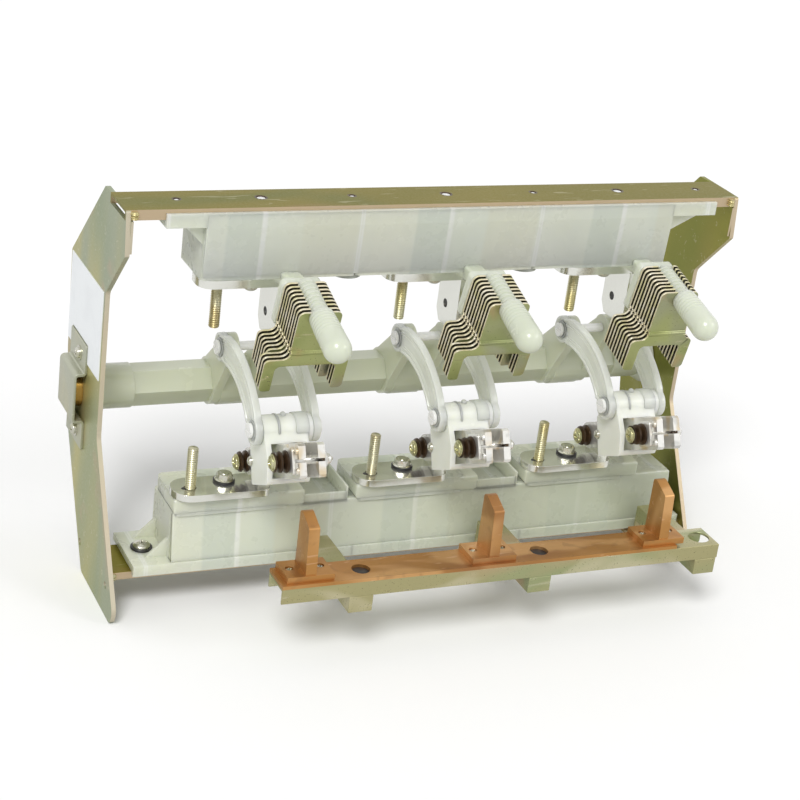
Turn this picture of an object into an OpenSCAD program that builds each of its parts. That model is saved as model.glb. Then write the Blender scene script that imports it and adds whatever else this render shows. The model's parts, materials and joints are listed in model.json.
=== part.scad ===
// Three-position load break switch for a gas-filled tank: the open core, without its tank.
// X runs along the three phases, Y runs from the front to the back, Z is up.
// The origin is on the floor, midway between the side plates.
// The blades stand in the open position; closed is up, earthed is down.

/* [Frame] */
// Width over the two side plates
frame_w = 713; // [700:1:760]
// Height from the floor to the top of the upper beam
frame_h = 449.5; // [440:0.5:470]
// Thickness of a side plate
plate_t = 5; // [3:0.5:6]
// Sheet thickness of the beams
beam_t = 3; // [2:0.5:4]
// Depth of the upper beam, front to back
top_beam_d = 55; // [50:1:60]
// Height of the upper beam
top_beam_h = 11; // [9:0.5:14]
// Front edge of the upper beam
top_beam_y = -9.6; // [-14:0.1:-6]
// Depth of the lower beam, front to back
low_beam_d = 61; // [56:1:66]
// Height of the lower beam
low_beam_h = 9; // [8:0.5:12]
// Front edge of the lower beam
low_beam_y = -20; // [-24:0.5:-16]
// Height of the lower beam's top face
low_beam_z = 46.5; // [42:0.5:50]
// Radius of the holes that fix the side plates in the tank
fixing_r = 4.25; // [3.25:0.25:5.25]

/* [Phases] */
// Distance between the phases
phase_pitch = 210; // [205:1:215]
// Contact plane of the middle phase, from the middle of the frame
phase_x = 26.5; // [20:0.5:30]
// Thickness of a fixed contact fin
fin_t = 12; // [10:0.5:14]
// Sliding clearance on each side of a fin
contact_gap = 0.5; // [0.3:0.1:1]

/* [Insulators] */
// Wall thickness of a moulding
wall = 4; // [3:0.5:5]
// Depth of the upper moulding, front to back
top_ins_d = 72.5; // [66:0.5:78]
// Height of the upper moulding under the beam
top_ins_h = 67; // [62:0.5:72]
// Length of the joined upper mouldings
top_ins_w = 546; // [530:2:560]
// Depth of the lower moulding, front to back
low_ins_d = 65; // [60:0.5:72]
// Front face of the lower moulding
low_ins_y = -12; // [-14:0.5:-8]
// Height of the lower moulding on its beam
low_ins_h = 62; // [58:0.5:66]
// Height of the raised seat under a lower terminal
seat_h = 19; // [15:0.5:24]
// How far a mounting flange reaches past the mouldings
flange_run = 42; // [38:1:50]
// Thickness of a mounting flange
flange_t = 8; // [6:0.5:10]
// How far a flange's lip stands in front of its beam
lip_t = 4; // [3:0.5:6]

/* [Terminals] */
// Radius of a terminal stud
stud_r = 6; // [5:0.5:8]
// Length of an upper stud below its bar
top_stud_l = 49; // [40:1:60]
// Length of a lower stud above its bar
low_stud_l = 47; // [40:1:60]
// Thickness of an upper terminal bar
top_bar_t = 9; // [6:0.5:12]
// Thickness of a lower terminal bar
low_bar_t = 8; // [6:0.5:10]
// Radius of the hole in an upper fin
fin_hole_r = 5; // [3:0.5:6]

/* [Linkage] */
// Height of the blade pivot
pivot_z = 156; // [154:1:160]
// Depth of the blade pivot
pivot_y = 3; // [0:1:6]
// Height of the shaft above the blade pivot
shaft_rise = 44; // [40:1:48]
// Depth of the shaft behind the blade pivot
shaft_back = 118; // [112:1:122]
// Radius of the crank, and of the blade's own arm
crank_r = 84.5; // [80:0.5:88]
// Angle of the crank from the back, in the open position
crank_angle = 130.5; // [126:0.5:134]
// Slope of the open blade above level
blade_slope = 26; // [22:1:30]
// Turn from open to closed
close_turn = 68; // [60:1:70]
// Turn from open to earthed
earth_turn = 27; // [20:1:28]
// Running clearance round a pin, on the radius
run_fit = 0.08; // [0.03:0.01:0.1]
// Clearance round the lower link pin, on the radius
open_fit = 0.4; // [0.3:0.05:0.8]

/* [Shaft] */
// Radius of the hexagonal shaft over its corners
hex_r = 24; // [22:0.5:26]
// Radius of the round hubs and collars
hub_r = 28; // [27:0.5:30]
// Radius of the end journals
journal_r = 12; // [9:0.5:14]
// Radius of the crank and link pins
pin_r = 5; // [4:0.5:6]

/* [Blades] */
// Length from the pivot to the blade tips
blade_l = 154; // [150:1:157]
// Width of a blade
blade_w = 36; // [32:1:38]
// Thickness of a blade
blade_t = 8; // [6:0.5:9]
// Distance from the pivot to the contact spring bolt
spring_y = 130; // [124:1:132]
// Radius of the spring bolts
bolt_r = 4.5; // [4:0.5:5]

/* [Arc chutes] */
// Number of splitter plates in a chute
splitter_n = 9; // [5:1:9]
// Distance from plate to plate
splitter_pitch = 5.9; // [5.5:0.1:6.2]
// Thickness of a splitter plate
splitter_t = 2.6; // [2:0.1:3.2]
// Slope of the plate stack below level
splitter_tilt = 17; // [12:1:20]
// Radius of the holder rod
rod_r = 14.5; // [12:0.5:16]

/* [Earthing bar] */
// Depth of the bar, front to back
earth_d = 40; // [36:1:44]
// Length of the steel channel
channel_l = 524; // [515:1:540]
// Height of the steel channel
channel_h = 17; // [14:0.5:20]
// Thickness of the copper strip
strip_t = 4; // [3:0.5:6]
// Back edge of the bar, in front of the frame's middle
earth_back = 130; // [127:0.5:134]
// Radius of the holes in the copper strip
strip_hole_r = 10; // [6:0.5:12]
// Radius of the hole at the channel's right end
lug_hole_r = 12; // [10:0.5:13]

/* [Hidden] */
$fn = 64;

// Places that follow from the driving sizes
eps = 0.01;
inner_x = frame_w / 2 - plate_t;
shaft_y = pivot_y + shaft_back;
shaft_z = pivot_z + shaft_rise;
crank_y = crank_r * cos(crank_angle);
crank_z = crank_r * sin(crank_angle);
gap_w = fin_t + 2 * contact_gap;
blade_x = gap_w / 2;
blade_out = blade_x + blade_t;
top_ins_z = frame_h - top_beam_h - top_ins_h;
top_ins_y = top_beam_y;
low_ins_z = low_beam_z;
low_bar_z = low_ins_z + low_ins_h + seat_h;
joint_x = phase_pitch / 2;
ins_shift = 2;
stud_step = 0.8;
top_pad_y = 10;

// Bearing bracket: a hat of sheet on the outside of each side plate
hat_d = 60;
hat_h = 58;
hat_out = 14;
hat_t = 3;
hat_foot = 35;
bush_r = 20;
plate_hole_r = journal_r + 6;

// Crank ears, link arms and the sleeve stand side by side across a phase
sleeve_half = 27.5;
ear_t = 10;
eye_r = 15.5;
collar_r = 25;
hub_half = 18;
side_gap = 0.6;
arm_t = 8;
arm_w = 30;
arm_rise = 20;
head_t = 3.5;
head_r = 8;
arm_in = sleeve_half + side_gap;
ear_in = sleeve_half - ear_t;

// Arc chute: outline of a plate from the contact plane and from the bar's front face
neck_half = 23;
neck_top = 52;
shoulder_h = -6;
slot_h = -14;
leg_h = -46;
leg_w = 12.5;
wide_left = 49;
wide_right = 41.5;
narrow_cut = 7.5;
wide_n = [3, 3, 0];
chute_turn = [0, 0, -2];
chute_side = [0, 0, -5.5];
neck_rise = [0, 0, 4];
rod_h = 47.4;
rod_nose = 50;
rod_neck = 9;
rod_flat = 8;
rod_gap = 0.4;
chute_y = -103;
chute_z = frame_h - 122;
back_t = 9;
chute_back = (splitter_n - 1) * splitter_pitch + splitter_t;
arm_left = -4;
arm_right = 17;

// Earthing bar and its contacts
earth_y = -earth_back - earth_d;
channel_t = 2.5;
channel_z = 78.5;
channel_x = -215.5;
strip_z = channel_z + channel_h;
contact_z = strip_z + strip_t;
contact_base_w = 52;
contact_base_t = 7;
contact_d = 36;
contact_h = 68;
bracket_w = 27;
bracket_h = 19;
bracket_x = 44;
bracket_back = 37;

function unit(v) = v / norm(v);

// Arc that rounds corner b between its neighbours a and c with radius r
function fillet(a, b, c, r) =
    let (
        u = unit(a - b),
        v = unit(c - b),
        half = acos(u * v) / 2,
        centre = b + unit(u + v) * r / sin(half),
        from = b + u * r / tan(half) - centre,
        to = b + v * r / tan(half) - centre,
        start = atan2(from.y, from.x),
        turn = (cross(from, to) > 0 ? 1 : -1) * (180 - 2 * half),
        steps = 5
    )
    [for (i = [0:steps]) centre + r * [cos(start + turn * i / steps), sin(start + turn * i / steps)]];

// Outline through corners [x, y, r], each rounded with its own radius
function rounded(pts) =
    let (n = len(pts))
    [for (i = [0:n - 1])
        let (
            a = pts[(i + n - 1) % n],
            b = pts[i],
            c = pts[(i + 1) % n]
        )
        each b[2] == 0 ? [[b.x, b.y]] : fillet([a.x, a.y], [b.x, b.y], [c.x, c.y], b[2])];

// Points of a round arc about a centre
function arc(centre, r, from, to, steps) =
    [for (i = [0:steps]) centre + r * [cos(from + (to - from) * i / steps), sin(from + (to - from) * i / steps)]];

// A Y-Z outline given thickness along X
module side_slab(x, t) {
    translate([x, 0, 0]) rotate([90, 0, 90]) linear_extrude(t) children();
}

// A round bar along X
module bar_x(x, t, y, z, r) {
    translate([x, y, z]) rotate([0, 90, 0]) cylinder(h = t, r = r);
}

module at_phase(i) {
    translate([phase_x + (i - 1) * phase_pitch, 0, 0]) children();
}

// Blade frame: origin on the pivot, -Y towards the tip
module at_blade() {
    translate([0, pivot_y, pivot_z]) rotate([-blade_slope, 0, 0]) children();
}

module at_shaft() {
    translate([0, shaft_y, shaft_z]) children();
}

// Chute frame: origin in the front plate, +Z up its neck, +Y to the plates behind
module at_chute(i) {
    at_phase(i) translate([0, chute_y, chute_z]) rotate([splitter_tilt + chute_turn[i], 0, 0]) children();
}

module side_plate() {
    outline = rounded([
        [top_beam_y - 1, frame_h, 3],
        [-15, frame_h - 47, 3],
        [42, frame_h - 107, 12],
        [42, 176, 20],
        [-53, 16, 14],
        [-46, 0, 8],
        [70, 0, 8],
        [152, 134, 30],
        [172, 225, 30],
        [176, frame_h - 109, 6],
        [65, frame_h, 3]]);
    color("darkkhaki") difference() {
        union() {
            side_slab(-frame_w / 2, plate_t) polygon(outline);
            translate([-inner_x - eps, -13.5, frame_h - top_beam_h - 34]) cube([2.5 + eps, 18, 34]);
        }
        translate([-frame_w, top_beam_y, frame_h - top_beam_h]) cube([frame_w, top_beam_d, top_beam_h + 1]);
        bar_x(-frame_w / 2 - 1, plate_t + 2, shaft_y, shaft_z, plate_hole_r);
        bar_x(-frame_w / 2 - 1, plate_t + 2, 81, 31, fixing_r);
        bar_x(-frame_w / 2 - 1, plate_t + 2, -22, 34, fixing_r);
    }
}

module left_side_plate() {
    side_plate();
}

module right_side_plate() {
    mirror([1, 0, 0]) side_plate();
}

// Sheet channel along X with its legs down
module channel_down(l, d, h, t) {
    difference() {
        translate([0, 0, 0]) cube([l, d, h]);
        translate([-1, t, -1]) cube([l + 2, d - 2 * t, h - t + 1]);
    }
}

top_hole_x = [-295.5, -205, -104, 5, 110, 216, 318];
top_hole_r = [3.5, 5.5];

module top_beam() {
    color("darkkhaki") difference() {
        translate([-frame_w / 2, top_beam_y, frame_h - top_beam_h]) channel_down(frame_w, top_beam_d, top_beam_h, beam_t);
        for (i = [0:len(top_hole_x) - 1])
            translate([top_hole_x[i], top_beam_y + top_beam_d / 2 + 3, frame_h - beam_t - 1])
                cylinder(h = beam_t + 2, r = top_hole_r[i % 2]);
    }
}

module bottom_beam() {
    color("darkkhaki") translate([-inner_x, low_beam_y, low_beam_z - low_beam_h])
        channel_down(2 * inner_x, low_beam_d, low_beam_h, beam_t);
}

module bearing_bracket() {
    face_x = -frame_w / 2 - hat_out;
    color("darkkhaki") translate([0, shaft_y - hat_d / 2, 0]) {
        translate([face_x, 0, shaft_z - hat_h / 2]) cube([hat_t, hat_d, hat_h]);
        for (side = [-1, 1]) {
            translate([face_x, 0, shaft_z + side * hat_h / 2 - (side > 0 ? hat_t : 0)]) cube([hat_out, hat_d, hat_t]);
            translate([-frame_w / 2 - hat_t, 0, shaft_z + (side > 0 ? hat_h / 2 - hat_t : -hat_h / 2 - hat_foot + hat_t)])
                cube([hat_t, hat_d, hat_foot]);
        }
    }
}

module left_bearing_bracket() {
    bearing_bracket();
}

module right_bearing_bracket() {
    mirror([1, 0, 0]) bearing_bracket();
}

module bearing_bushes() {
    color("goldenrod") for (side = [0, 1]) mirror([side, 0, 0]) difference() {
        bar_x(-frame_w / 2 - hat_out + hat_t, hat_out - hat_t, shaft_y, shaft_z, bush_r);
        bar_x(-frame_w / 2 - hat_out, hat_out + 1, shaft_y, shaft_z, journal_r + run_fit);
    }
}

module label_plate() {
    color("white") difference() {
        translate([-frame_w / 2 - 1.2, shaft_y - 75, shaft_z + 41]) cube([1.2, 124, 100]);
        translate([-frame_w / 2 - 2, shaft_y - hat_d / 2 - 1, shaft_z + 30])
            cube([3, hat_d + 2, hat_h / 2 + hat_foot - hat_t - 29]);
    }
}

// Box moulding with one open side, its four upright edges rounded
module tub(x0, x1, y, d, z, h, open_up) {
    r = 5;
    difference() {
        translate([0, 0, z]) linear_extrude(h) rounded_plan(x0, x1, y, d, r);
        translate([0, 0, z + (open_up ? wall : -1)]) linear_extrude(h - wall + 1)
            rounded_plan(x0 + wall, x1 - wall, y + wall, d - 2 * wall, r / 2);
    }
}

// Rectangle in plan with round corners
module rounded_plan(x0, x1, y, d, r) {
    translate([x0 + r, y]) square([x1 - x0 - 2 * r, d]);
    translate([x0, y + r]) square([x1 - x0, d - 2 * r]);
    for (x = [x0 + r, x1 - r], t = [y + r, y + d - r]) translate([x, t]) circle(r = r);
}

// Triangular rib between an end wall and its flange
module gusset(x, side, y, z, run, rise) {
    translate([x, y + wall, z]) rotate([90, 0, 0]) linear_extrude(wall)
        polygon([[-side, 0], [side * run, 0], [-side, rise]]);
}

module top_insulator(i) {
    x0 = i == 0 ? -top_ins_w / 2 : -joint_x + ins_shift + (i - 1) * phase_pitch;
    x1 = i == 2 ? top_ins_w / 2 : -joint_x + ins_shift + i * phase_pitch;
    f0 = i == 0 ? x0 - flange_run : x0;
    f1 = i == 2 ? x1 + flange_run + 12 : x1;
    top = frame_h - top_beam_h;
    rib = (x1 - x0) / 3;
    ribs_y = [top_ins_y + 4, top_ins_y + top_ins_d - 2 * wall];
    color([0.86, 0.88, 0.78]) {
        difference() {
            union() {
                tub(x0, x1, top_ins_y, top_ins_d, top_ins_z, top_ins_h, true);
                translate([f0, top_ins_y - lip_t, top - flange_t]) cube([f1 - f0, top_ins_d + lip_t, flange_t]);
                translate([f0, top_ins_y - lip_t, top - flange_t]) cube([f1 - f0, lip_t, flange_t + 7]);
            }
            translate([0, 0, top - flange_t - 1]) linear_extrude(flange_t + 2)
                rounded_plan(x0 + wall, x1 - wall, top_ins_y + wall, top_ins_d - 2 * wall, 2.5);
        }
        for (k = [1, 2]) translate([x0 + k * rib, top_ins_y + wall - 0.5, top_ins_z + wall - 0.5])
            cube([wall, top_ins_d - 2 * wall + 1, top_ins_h - wall - flange_t]);
        if (i == 0) for (y = ribs_y) gusset(x0, -1, y, top - flange_t + eps, 21, -22);
        if (i == 2) for (y = ribs_y) gusset(x1, 1, y, top - flange_t + eps, 40, -21);
    }
}

low_end = 96;
seat_left = -102;
seat_right = 30;
seat_front = -8;

module bottom_insulator(i) {
    xc = phase_x + (i - 1) * phase_pitch;
    x0 = xc + seat_left;
    x1 = i == 2 ? xc + low_end : x0 + phase_pitch;
    f0 = i == 0 ? x0 - flange_run : x0;
    f1 = i == 2 ? inner_x - 4 : x1;
    top = low_ins_z + low_ins_h;
    ribs_y = [low_ins_y + 4, low_ins_y + low_ins_d - 4 * wall];
    color([0.86, 0.88, 0.78]) {
        difference() {
            union() {
                tub(x0, x1, low_ins_y, low_ins_d, low_ins_z, low_ins_h, false);
                translate([f0, low_beam_y - lip_t, low_ins_z]) cube([f1 - f0, low_ins_y + low_ins_d - low_beam_y + lip_t, flange_t]);
                translate([f0, low_beam_y - lip_t - 2, low_ins_z - 4]) cube([f1 - f0, lip_t + 2, flange_t + 4]);
                translate([0, 0, top - 1]) linear_extrude(seat_h + 1)
                    rounded_plan(x0, xc + seat_right, low_ins_y + seat_front, low_ins_d - seat_front - 6, 8);
            }
            translate([0, 0, low_ins_z - 1]) linear_extrude(flange_t + 2)
                rounded_plan(x0 + wall, x1 - wall, low_ins_y + wall, low_ins_d - 2 * wall, 2.5);
        }
        for (x = [x0 + 48, x0 + 104, x0 + 152]) translate([x, low_ins_y + wall - 0.5, low_ins_z + flange_t])
            cube([wall, low_ins_d - 2 * wall + 1, low_ins_h - flange_t - 1]);
        if (i == 0) for (y = ribs_y) gusset(x0, -1, y, low_ins_z + flange_t - eps, 24, 23);
        if (i == 2) for (y = ribs_y) gusset(x1, 1, y, low_ins_z + flange_t - eps, 14, 23);
    }
}

module top_insulator_a() {
    top_insulator(0);
}

module top_insulator_b() {
    top_insulator(1);
}

module top_insulator_c() {
    top_insulator(2);
}

module bottom_insulator_a() {
    bottom_insulator(0);
}

module bottom_insulator_b() {
    bottom_insulator(1);
}

module bottom_insulator_c() {
    bottom_insulator(2);
}

// Upper terminals: a bar under the moulding and a fin for the closed blades
top_bar_y0 = -11;
top_bar_y1 = 31;
top_bar_left = -90;
top_bar_right = 34;
top_stud_x = -65.5;
top_stud_y = 8;
top_bolt_x = -29;
top_fin_y0 = -12;
top_fin_y1 = 38;
top_fin_z = 300;

module top_terminals() {
    color("gainsboro") for (i = [0:2]) at_phase(i) difference() {
        union() {
            translate([0, 0, top_ins_z - top_bar_t]) linear_extrude(top_bar_t) polygon(rounded([
                [top_bar_left, top_bar_y0, 16],
                [top_bar_right, top_bar_y0, 8],
                [top_bar_right, top_bar_y1, 8],
                [top_bar_left, top_bar_y1, 16]]));
            side_slab(-fin_t / 2, fin_t) polygon([
                [top_fin_y0, top_ins_z - top_bar_t + eps],
                [top_fin_y0, top_fin_z + 12],
                [top_fin_y0 + 8, top_fin_z],
                [top_fin_y1 - 8, top_fin_z],
                [top_fin_y1, top_fin_z + 12],
                [top_fin_y1, top_ins_z - top_bar_t + eps]]);
        }
        bar_x(-fin_t, 2 * fin_t, top_fin_y0 + 30, top_fin_z + 24.5, fin_hole_r);
        translate([top_stud_x, top_stud_y, top_ins_z - top_bar_t - 1]) cylinder(h = top_bar_t + 2, r = stud_r + stud_step);
    }
}

// Lower terminals: a bar on the moulding and a fin that carries the blade pivot
low_bar_y0 = -28;
low_bar_y1 = 15;
low_bar_left = -103;
low_bar_right = 5;
low_stud_x = -82;
low_stud_y = -8;
low_bolt_x = -41.5;
low_bolt_y = 0;
low_fin_r = 15;

module bottom_terminals() {
    color("gainsboro") for (i = [0:2]) at_phase(i) difference() {
        union() {
            translate([0, 0, low_bar_z]) linear_extrude(low_bar_t) polygon(rounded([
                [low_bar_left, low_bar_y0, 20],
                [low_bar_right, low_bar_y0, 10],
                [low_bar_right, low_bar_y1, 10],
                [low_bar_left, low_bar_y1, 20]]));
            side_slab(-fin_t / 2, fin_t) polygon(concat(
                [[pivot_y - low_fin_r, low_bar_z + 1], [pivot_y + low_fin_r, low_bar_z + 1]],
                arc([pivot_y, pivot_z], low_fin_r, 0, 180, 24)));
        }
        bar_x(-fin_t, 2 * fin_t, pivot_y, pivot_z, bolt_r + run_fit);
        translate([low_stud_x, low_stud_y, low_bar_z - 1]) cylinder(h = low_bar_t + 2, r = stud_r + stud_step);
    }
}

module terminal_studs() {
    color("tan") for (i = [0:2]) at_phase(i) {
        translate([top_stud_x, top_stud_y, top_ins_z - top_bar_t - top_stud_l]) cylinder(h = top_stud_l + eps, r = stud_r);
        translate([top_stud_x, top_stud_y, top_ins_z - top_bar_t]) cylinder(h = top_bar_t, r = stud_r + stud_step);
        translate([low_stud_x, low_stud_y, low_bar_z]) cylinder(h = low_bar_t, r = stud_r + stud_step);
        translate([low_stud_x, low_stud_y, low_bar_z + low_bar_t - eps]) cylinder(h = low_stud_l + eps, r = stud_r);
    }
}

module terminal_bolts() {
    color("silver") for (i = [0:2]) at_phase(i) {
        translate([top_bolt_x, top_stud_y, top_ins_z - top_bar_t - 3]) cylinder(h = 3, r = 9);
        translate([top_bolt_x, top_stud_y, top_ins_z - top_bar_t - 10]) cylinder(h = 7 + eps, r = 8);
        translate([low_bolt_x, low_bolt_y, low_bar_z + low_bar_t]) cylinder(h = 2.5, r = 12);
        translate([low_bolt_x, low_bolt_y, low_bar_z + low_bar_t + 2.5 - eps]) cylinder(h = 8, r = 9.5, $fn = 6);
    }
}

// Grey pads under the joints between the upper mouldings
module joint_pads() {
    color("dimgray") for (i = [0, 1])
        translate([joint_x + ins_shift + (i - 1) * phase_pitch - 4, top_pad_y, top_ins_z - 4.5]) cylinder(h = 4.5, r = 17);
}

// One splitter plate; cut takes both legs in towards the neck
module splitter(cut, side, rise) {
    left = wide_left - cut;
    right = wide_right - cut;
    rotate([90, 0, 0]) linear_extrude(splitter_t) difference() {
        translate([side, 0]) polygon(rounded([
            [-neck_half, neck_top + rise, 6],
            [-neck_half, shoulder_h, 8],
            [-left, shoulder_h, 5],
            [-left, leg_h, 5],
            [-left + leg_w, leg_h, 2],
            [-left + leg_w, slot_h, 6],
            [right - leg_w, slot_h, 6],
            [right - leg_w, leg_h, 2],
            [right, leg_h, 5],
            [right, shoulder_h, 5],
            [neck_half, shoulder_h, 8],
            [neck_half, neck_top + rise, 6]]));
        translate([-rod_neck - rod_gap, rod_h - rod_flat]) square([2 * (rod_neck + rod_gap), neck_top]);
    }
}

module arc_plates(i) {
    color("yellowgreen") at_chute(i)
        for (k = [0:splitter_n - 1]) translate([0, k * splitter_pitch + splitter_t, 0])
            splitter(k < wide_n[i] ? 0 : narrow_cut, chute_side[i], neck_rise[i]);
}

module arc_plates_a() {
    arc_plates(0);
}

module arc_plates_b() {
    arc_plates(1);
}

module arc_plates_c() {
    arc_plates(2);
}

// Finger through the necks, a back wall behind the plates and an arm to the moulding
module chute_holder(side) {
    translate([0, -rod_nose, rod_h]) sphere(r = rod_r);
    translate([0, -rod_nose, rod_h]) rotate([-90, 0, 0]) cylinder(h = rod_nose, r1 = rod_r, r2 = rod_r - 1.5);
    difference() {
        translate([0, -eps, rod_h]) rotate([-90, 0, 0]) cylinder(h = chute_back + back_t, r = rod_neck);
        translate([-rod_neck, 0, rod_h - rod_flat - rod_neck]) cube([2 * rod_neck, chute_back, rod_neck]);
    }
    translate([side - neck_half - 2, chute_back, -2]) cube([2 * neck_half + 4, back_t, neck_top + 6]);
}

module arc_holders() {
    arm_y = chute_y + chute_back - 5.5;
    arm_end = top_fin_y0 - 0.3;
    arm_over = 7.2;
    color([0.88, 0.9, 0.84]) for (i = [0:2]) {
        at_chute(i) chute_holder(chute_side[i]);
        at_phase(i) translate([arm_left, 0, top_ins_z]) {
            translate([0, arm_y, -9]) cube([arm_right - arm_left, arm_end - arm_y, 9.3 + arm_over]);
            translate([0, arm_y, 0.3]) cube([arm_right - arm_left, top_ins_y - arm_y, arm_over]);
        }
    }
}

module earth_channel() {
    color("darkkhaki") translate([channel_x, earth_y, channel_z]) difference() {
        channel_down(channel_l, earth_d, channel_h, channel_t);
        translate([channel_l - lug_run, earth_d / 2, 0]) cylinder(h = channel_h + 1, r = lug_hole_r);
    }
}

strip_l = 468;
lug_run = 15.5;
hole_run = 94;

module earth_strip() {
    color("peru") difference() {
        translate([channel_x, earth_y, strip_z]) cube([strip_l, earth_d, strip_t]);
        for (i = [0, 1]) translate([channel_x + hole_run + i * phase_pitch, earth_y + earth_d / 2, strip_z - 1])
            cylinder(h = strip_t + 2, r = strip_hole_r);
    }
}

module earth_contacts() {
    color("sienna") for (i = [0:2]) at_phase(i) difference() {
        union() {
            translate([-contact_base_w / 2, -earth_back - contact_d, contact_z]) cube([contact_base_w, contact_d, contact_base_t]);
            side_slab(-fin_t / 2, fin_t) polygon(rounded([
                [-earth_back - 3, contact_z, 0],
                [-earth_back - 3, contact_z + contact_h, 4],
                [-earth_back - 10, contact_z + contact_h, 3],
                [-earth_back - contact_d + 5, contact_z + contact_h - 9, 3],
                [-earth_back - contact_d + 1, contact_z, 0]]));
        }
        for (side = [-1, 1]) translate([side * 17, -earth_back - contact_d / 2 + 2, contact_z - 1])
            cylinder(h = contact_base_t + 2, r = 4.25);
    }
}

module earth_brackets() {
    color("darkkhaki") for (i = [0:2]) at_phase(i) translate([bracket_x, 0, 0]) {
        difference() {
            translate([0, earth_y, channel_z - bracket_h]) cube([bracket_w, earth_d + earth_back - bracket_back, bracket_h]);
            translate([3, earth_y + 3, channel_z - bracket_h - 1]) cube([bracket_w - 6, earth_d + earth_back - bracket_back - 6, bracket_h - 2]);
        }
        translate([0, -bracket_back - 4, low_beam_z - low_beam_h - 5]) cube([bracket_w, 4, channel_z - low_beam_z + low_beam_h + 5]);
        translate([0, -bracket_back - 4, low_beam_z - low_beam_h - 5]) cube([bracket_w, 70, 5]);
    }
}

module frame_bolts() {
    left = max(phase_x - phase_pitch + seat_left - 22, 14 - inner_x);
    color("silver") for (x = [left, inner_x - 12]) {
        translate([x, 14, low_ins_z + flange_t]) cylinder(h = 2.5, r = x < 0 ? 12 : 7);
        translate([x, 14, low_ins_z + flange_t + 2.5 - eps]) cylinder(h = 5, r = x < 0 ? 9 : 5.5);
    }
}

// Crank from its hub to its eye, cut as one ear
module crank_ear(x) {
    side_slab(x, ear_t) {
        circle(r = hub_r - 1);
        translate([crank_y, crank_z]) circle(r = eye_r);
        rotate(crank_angle) polygon([
            [0, hub_r - 3], [0, -hub_r + 3],
            [crank_r, -eye_r + 1], [crank_r, eye_r - 1]]);
    }
}

// Tapered foot of the shaft against a side plate
module shaft_foot() {
    translate([-inner_x + 1, 0, 0]) rotate([0, 90, 0]) cylinder(h = 12, r1 = 33, r2 = 26);
}

module main_shaft() {
    color([0.82, 0.85, 0.76]) at_shaft() difference() {
        union() {
            rotate([30, 0, 0]) rotate([0, 90, 0]) cylinder(h = 2 * inner_x - 12, r = hex_r, center = true, $fn = 6);
            for (side = [0, 1]) mirror([side, 0, 0]) {
                bar_x(-frame_w / 2 - hat_out + hat_t + 0.5, hat_out - hat_t + plate_t + 4.5, 0, 0, journal_r);
                bar_x(-inner_x + 5, 46, 0, 0, collar_r);
                shaft_foot();
            }
            for (i = [0:2]) at_phase(i) {
                bar_x(-hub_half, 2 * hub_half, 0, 0, hub_r);
                crank_ear(-sleeve_half);
                crank_ear(ear_in);
            }
        }
        for (i = [0:2]) at_phase(i) bar_x(-sleeve_half - 1, 2 * sleeve_half + 2, crank_y, crank_z, pin_r);
    }
}

// Pin with a slotted head at its left end and a plain head at its right
module link_bolt() {
    reach = arm_in + arm_t + side_gap;
    difference() {
        union() {
            bar_x(-reach, 2 * reach, 0, 0, pin_r);
            bar_x(-reach - head_t, head_t + eps, 0, 0, head_r);
            bar_x(reach - eps, head_t, 0, 0, head_r);
        }
        translate([-reach - head_t - 1, -head_r, -0.8]) cube([2.2, 2 * head_r, 1.6]);
    }
}

module crank_pins() {
    color("white") for (i = [0:2]) at_phase(i) at_shaft() translate([0, crank_y, crank_z]) link_bolt();
}

// A pair of bowed arms between the crank pin and the blade's pin
module link(i) {
    chord = norm([shaft_back, shaft_rise]);
    bow_r = (chord * chord / 4 + arm_rise * arm_rise) / (2 * arm_rise);
    half = asin(chord / 2 / bow_r);
    outline = concat(
        arc([0, arm_rise - bow_r], bow_r + arm_w / 2, 90 - half, 90 + half, 16),
        arc([0, arm_rise - bow_r], bow_r - arm_w / 2, 90 + half, 90 - half, 16));
    color([0.9, 0.92, 0.86]) at_phase(i) at_shaft() translate([0, crank_y, crank_z])
        rotate([atan2(shaft_rise, shaft_back), 0, 0]) translate([0, -chord / 2, 0])
            for (x = [-arm_in - arm_t, arm_in]) difference() {
                union() {
                    side_slab(x, arm_t) polygon(outline);
                    bar_x(x, arm_t, chord / 2, 0, eye_r + 0.5);
                    bar_x(x, arm_t, -chord / 2, 0, eye_r + 0.5);
                }
                bar_x(x - 1, arm_t + 2, chord / 2, 0, pin_r + run_fit);
                bar_x(x - 1, arm_t + 2, -chord / 2, 0, pin_r + open_fit);
            }
}

module link_a() {
    link(0);
}

module link_b() {
    link(1);
}

module link_c() {
    link(2);
}

// Pair of slotted knife blades
module blades(i) {
    color("gainsboro") at_phase(i) at_blade() for (side = [0, 1]) mirror([side, 0, 0]) difference() {
        side_slab(blade_x, blade_t) polygon(concat(
            arc([0, 0], low_fin_r, 90, -90, 20),
            [[-37, -low_fin_r], [-45, -blade_w / 2], [-blade_l + 3, -blade_w / 2], [-blade_l, -blade_w / 2 + 3],
            [-blade_l, blade_w / 2 - 3], [-blade_l + 3, blade_w / 2],
            [-45, blade_w / 2], [-37, low_fin_r]]));
        bar_x(0, 40, 0, 0, bolt_r);
        bar_x(0, 40, -spring_y, 0, bolt_r);
        translate([0, -blade_l - 1, -1.5]) cube([40, 52, 3]);
    }
}

module blades_a() {
    blades(0);
}

module blades_b() {
    blades(1);
}

module blades_c() {
    blades(2);
}

// The lower link pin in the blade frame
pin_y = crank_r * cos(crank_angle + blade_slope);
pin_z = crank_r * sin(crank_angle + blade_slope);

holder_left = 21.5;
holder_right = 20.5;

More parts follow.
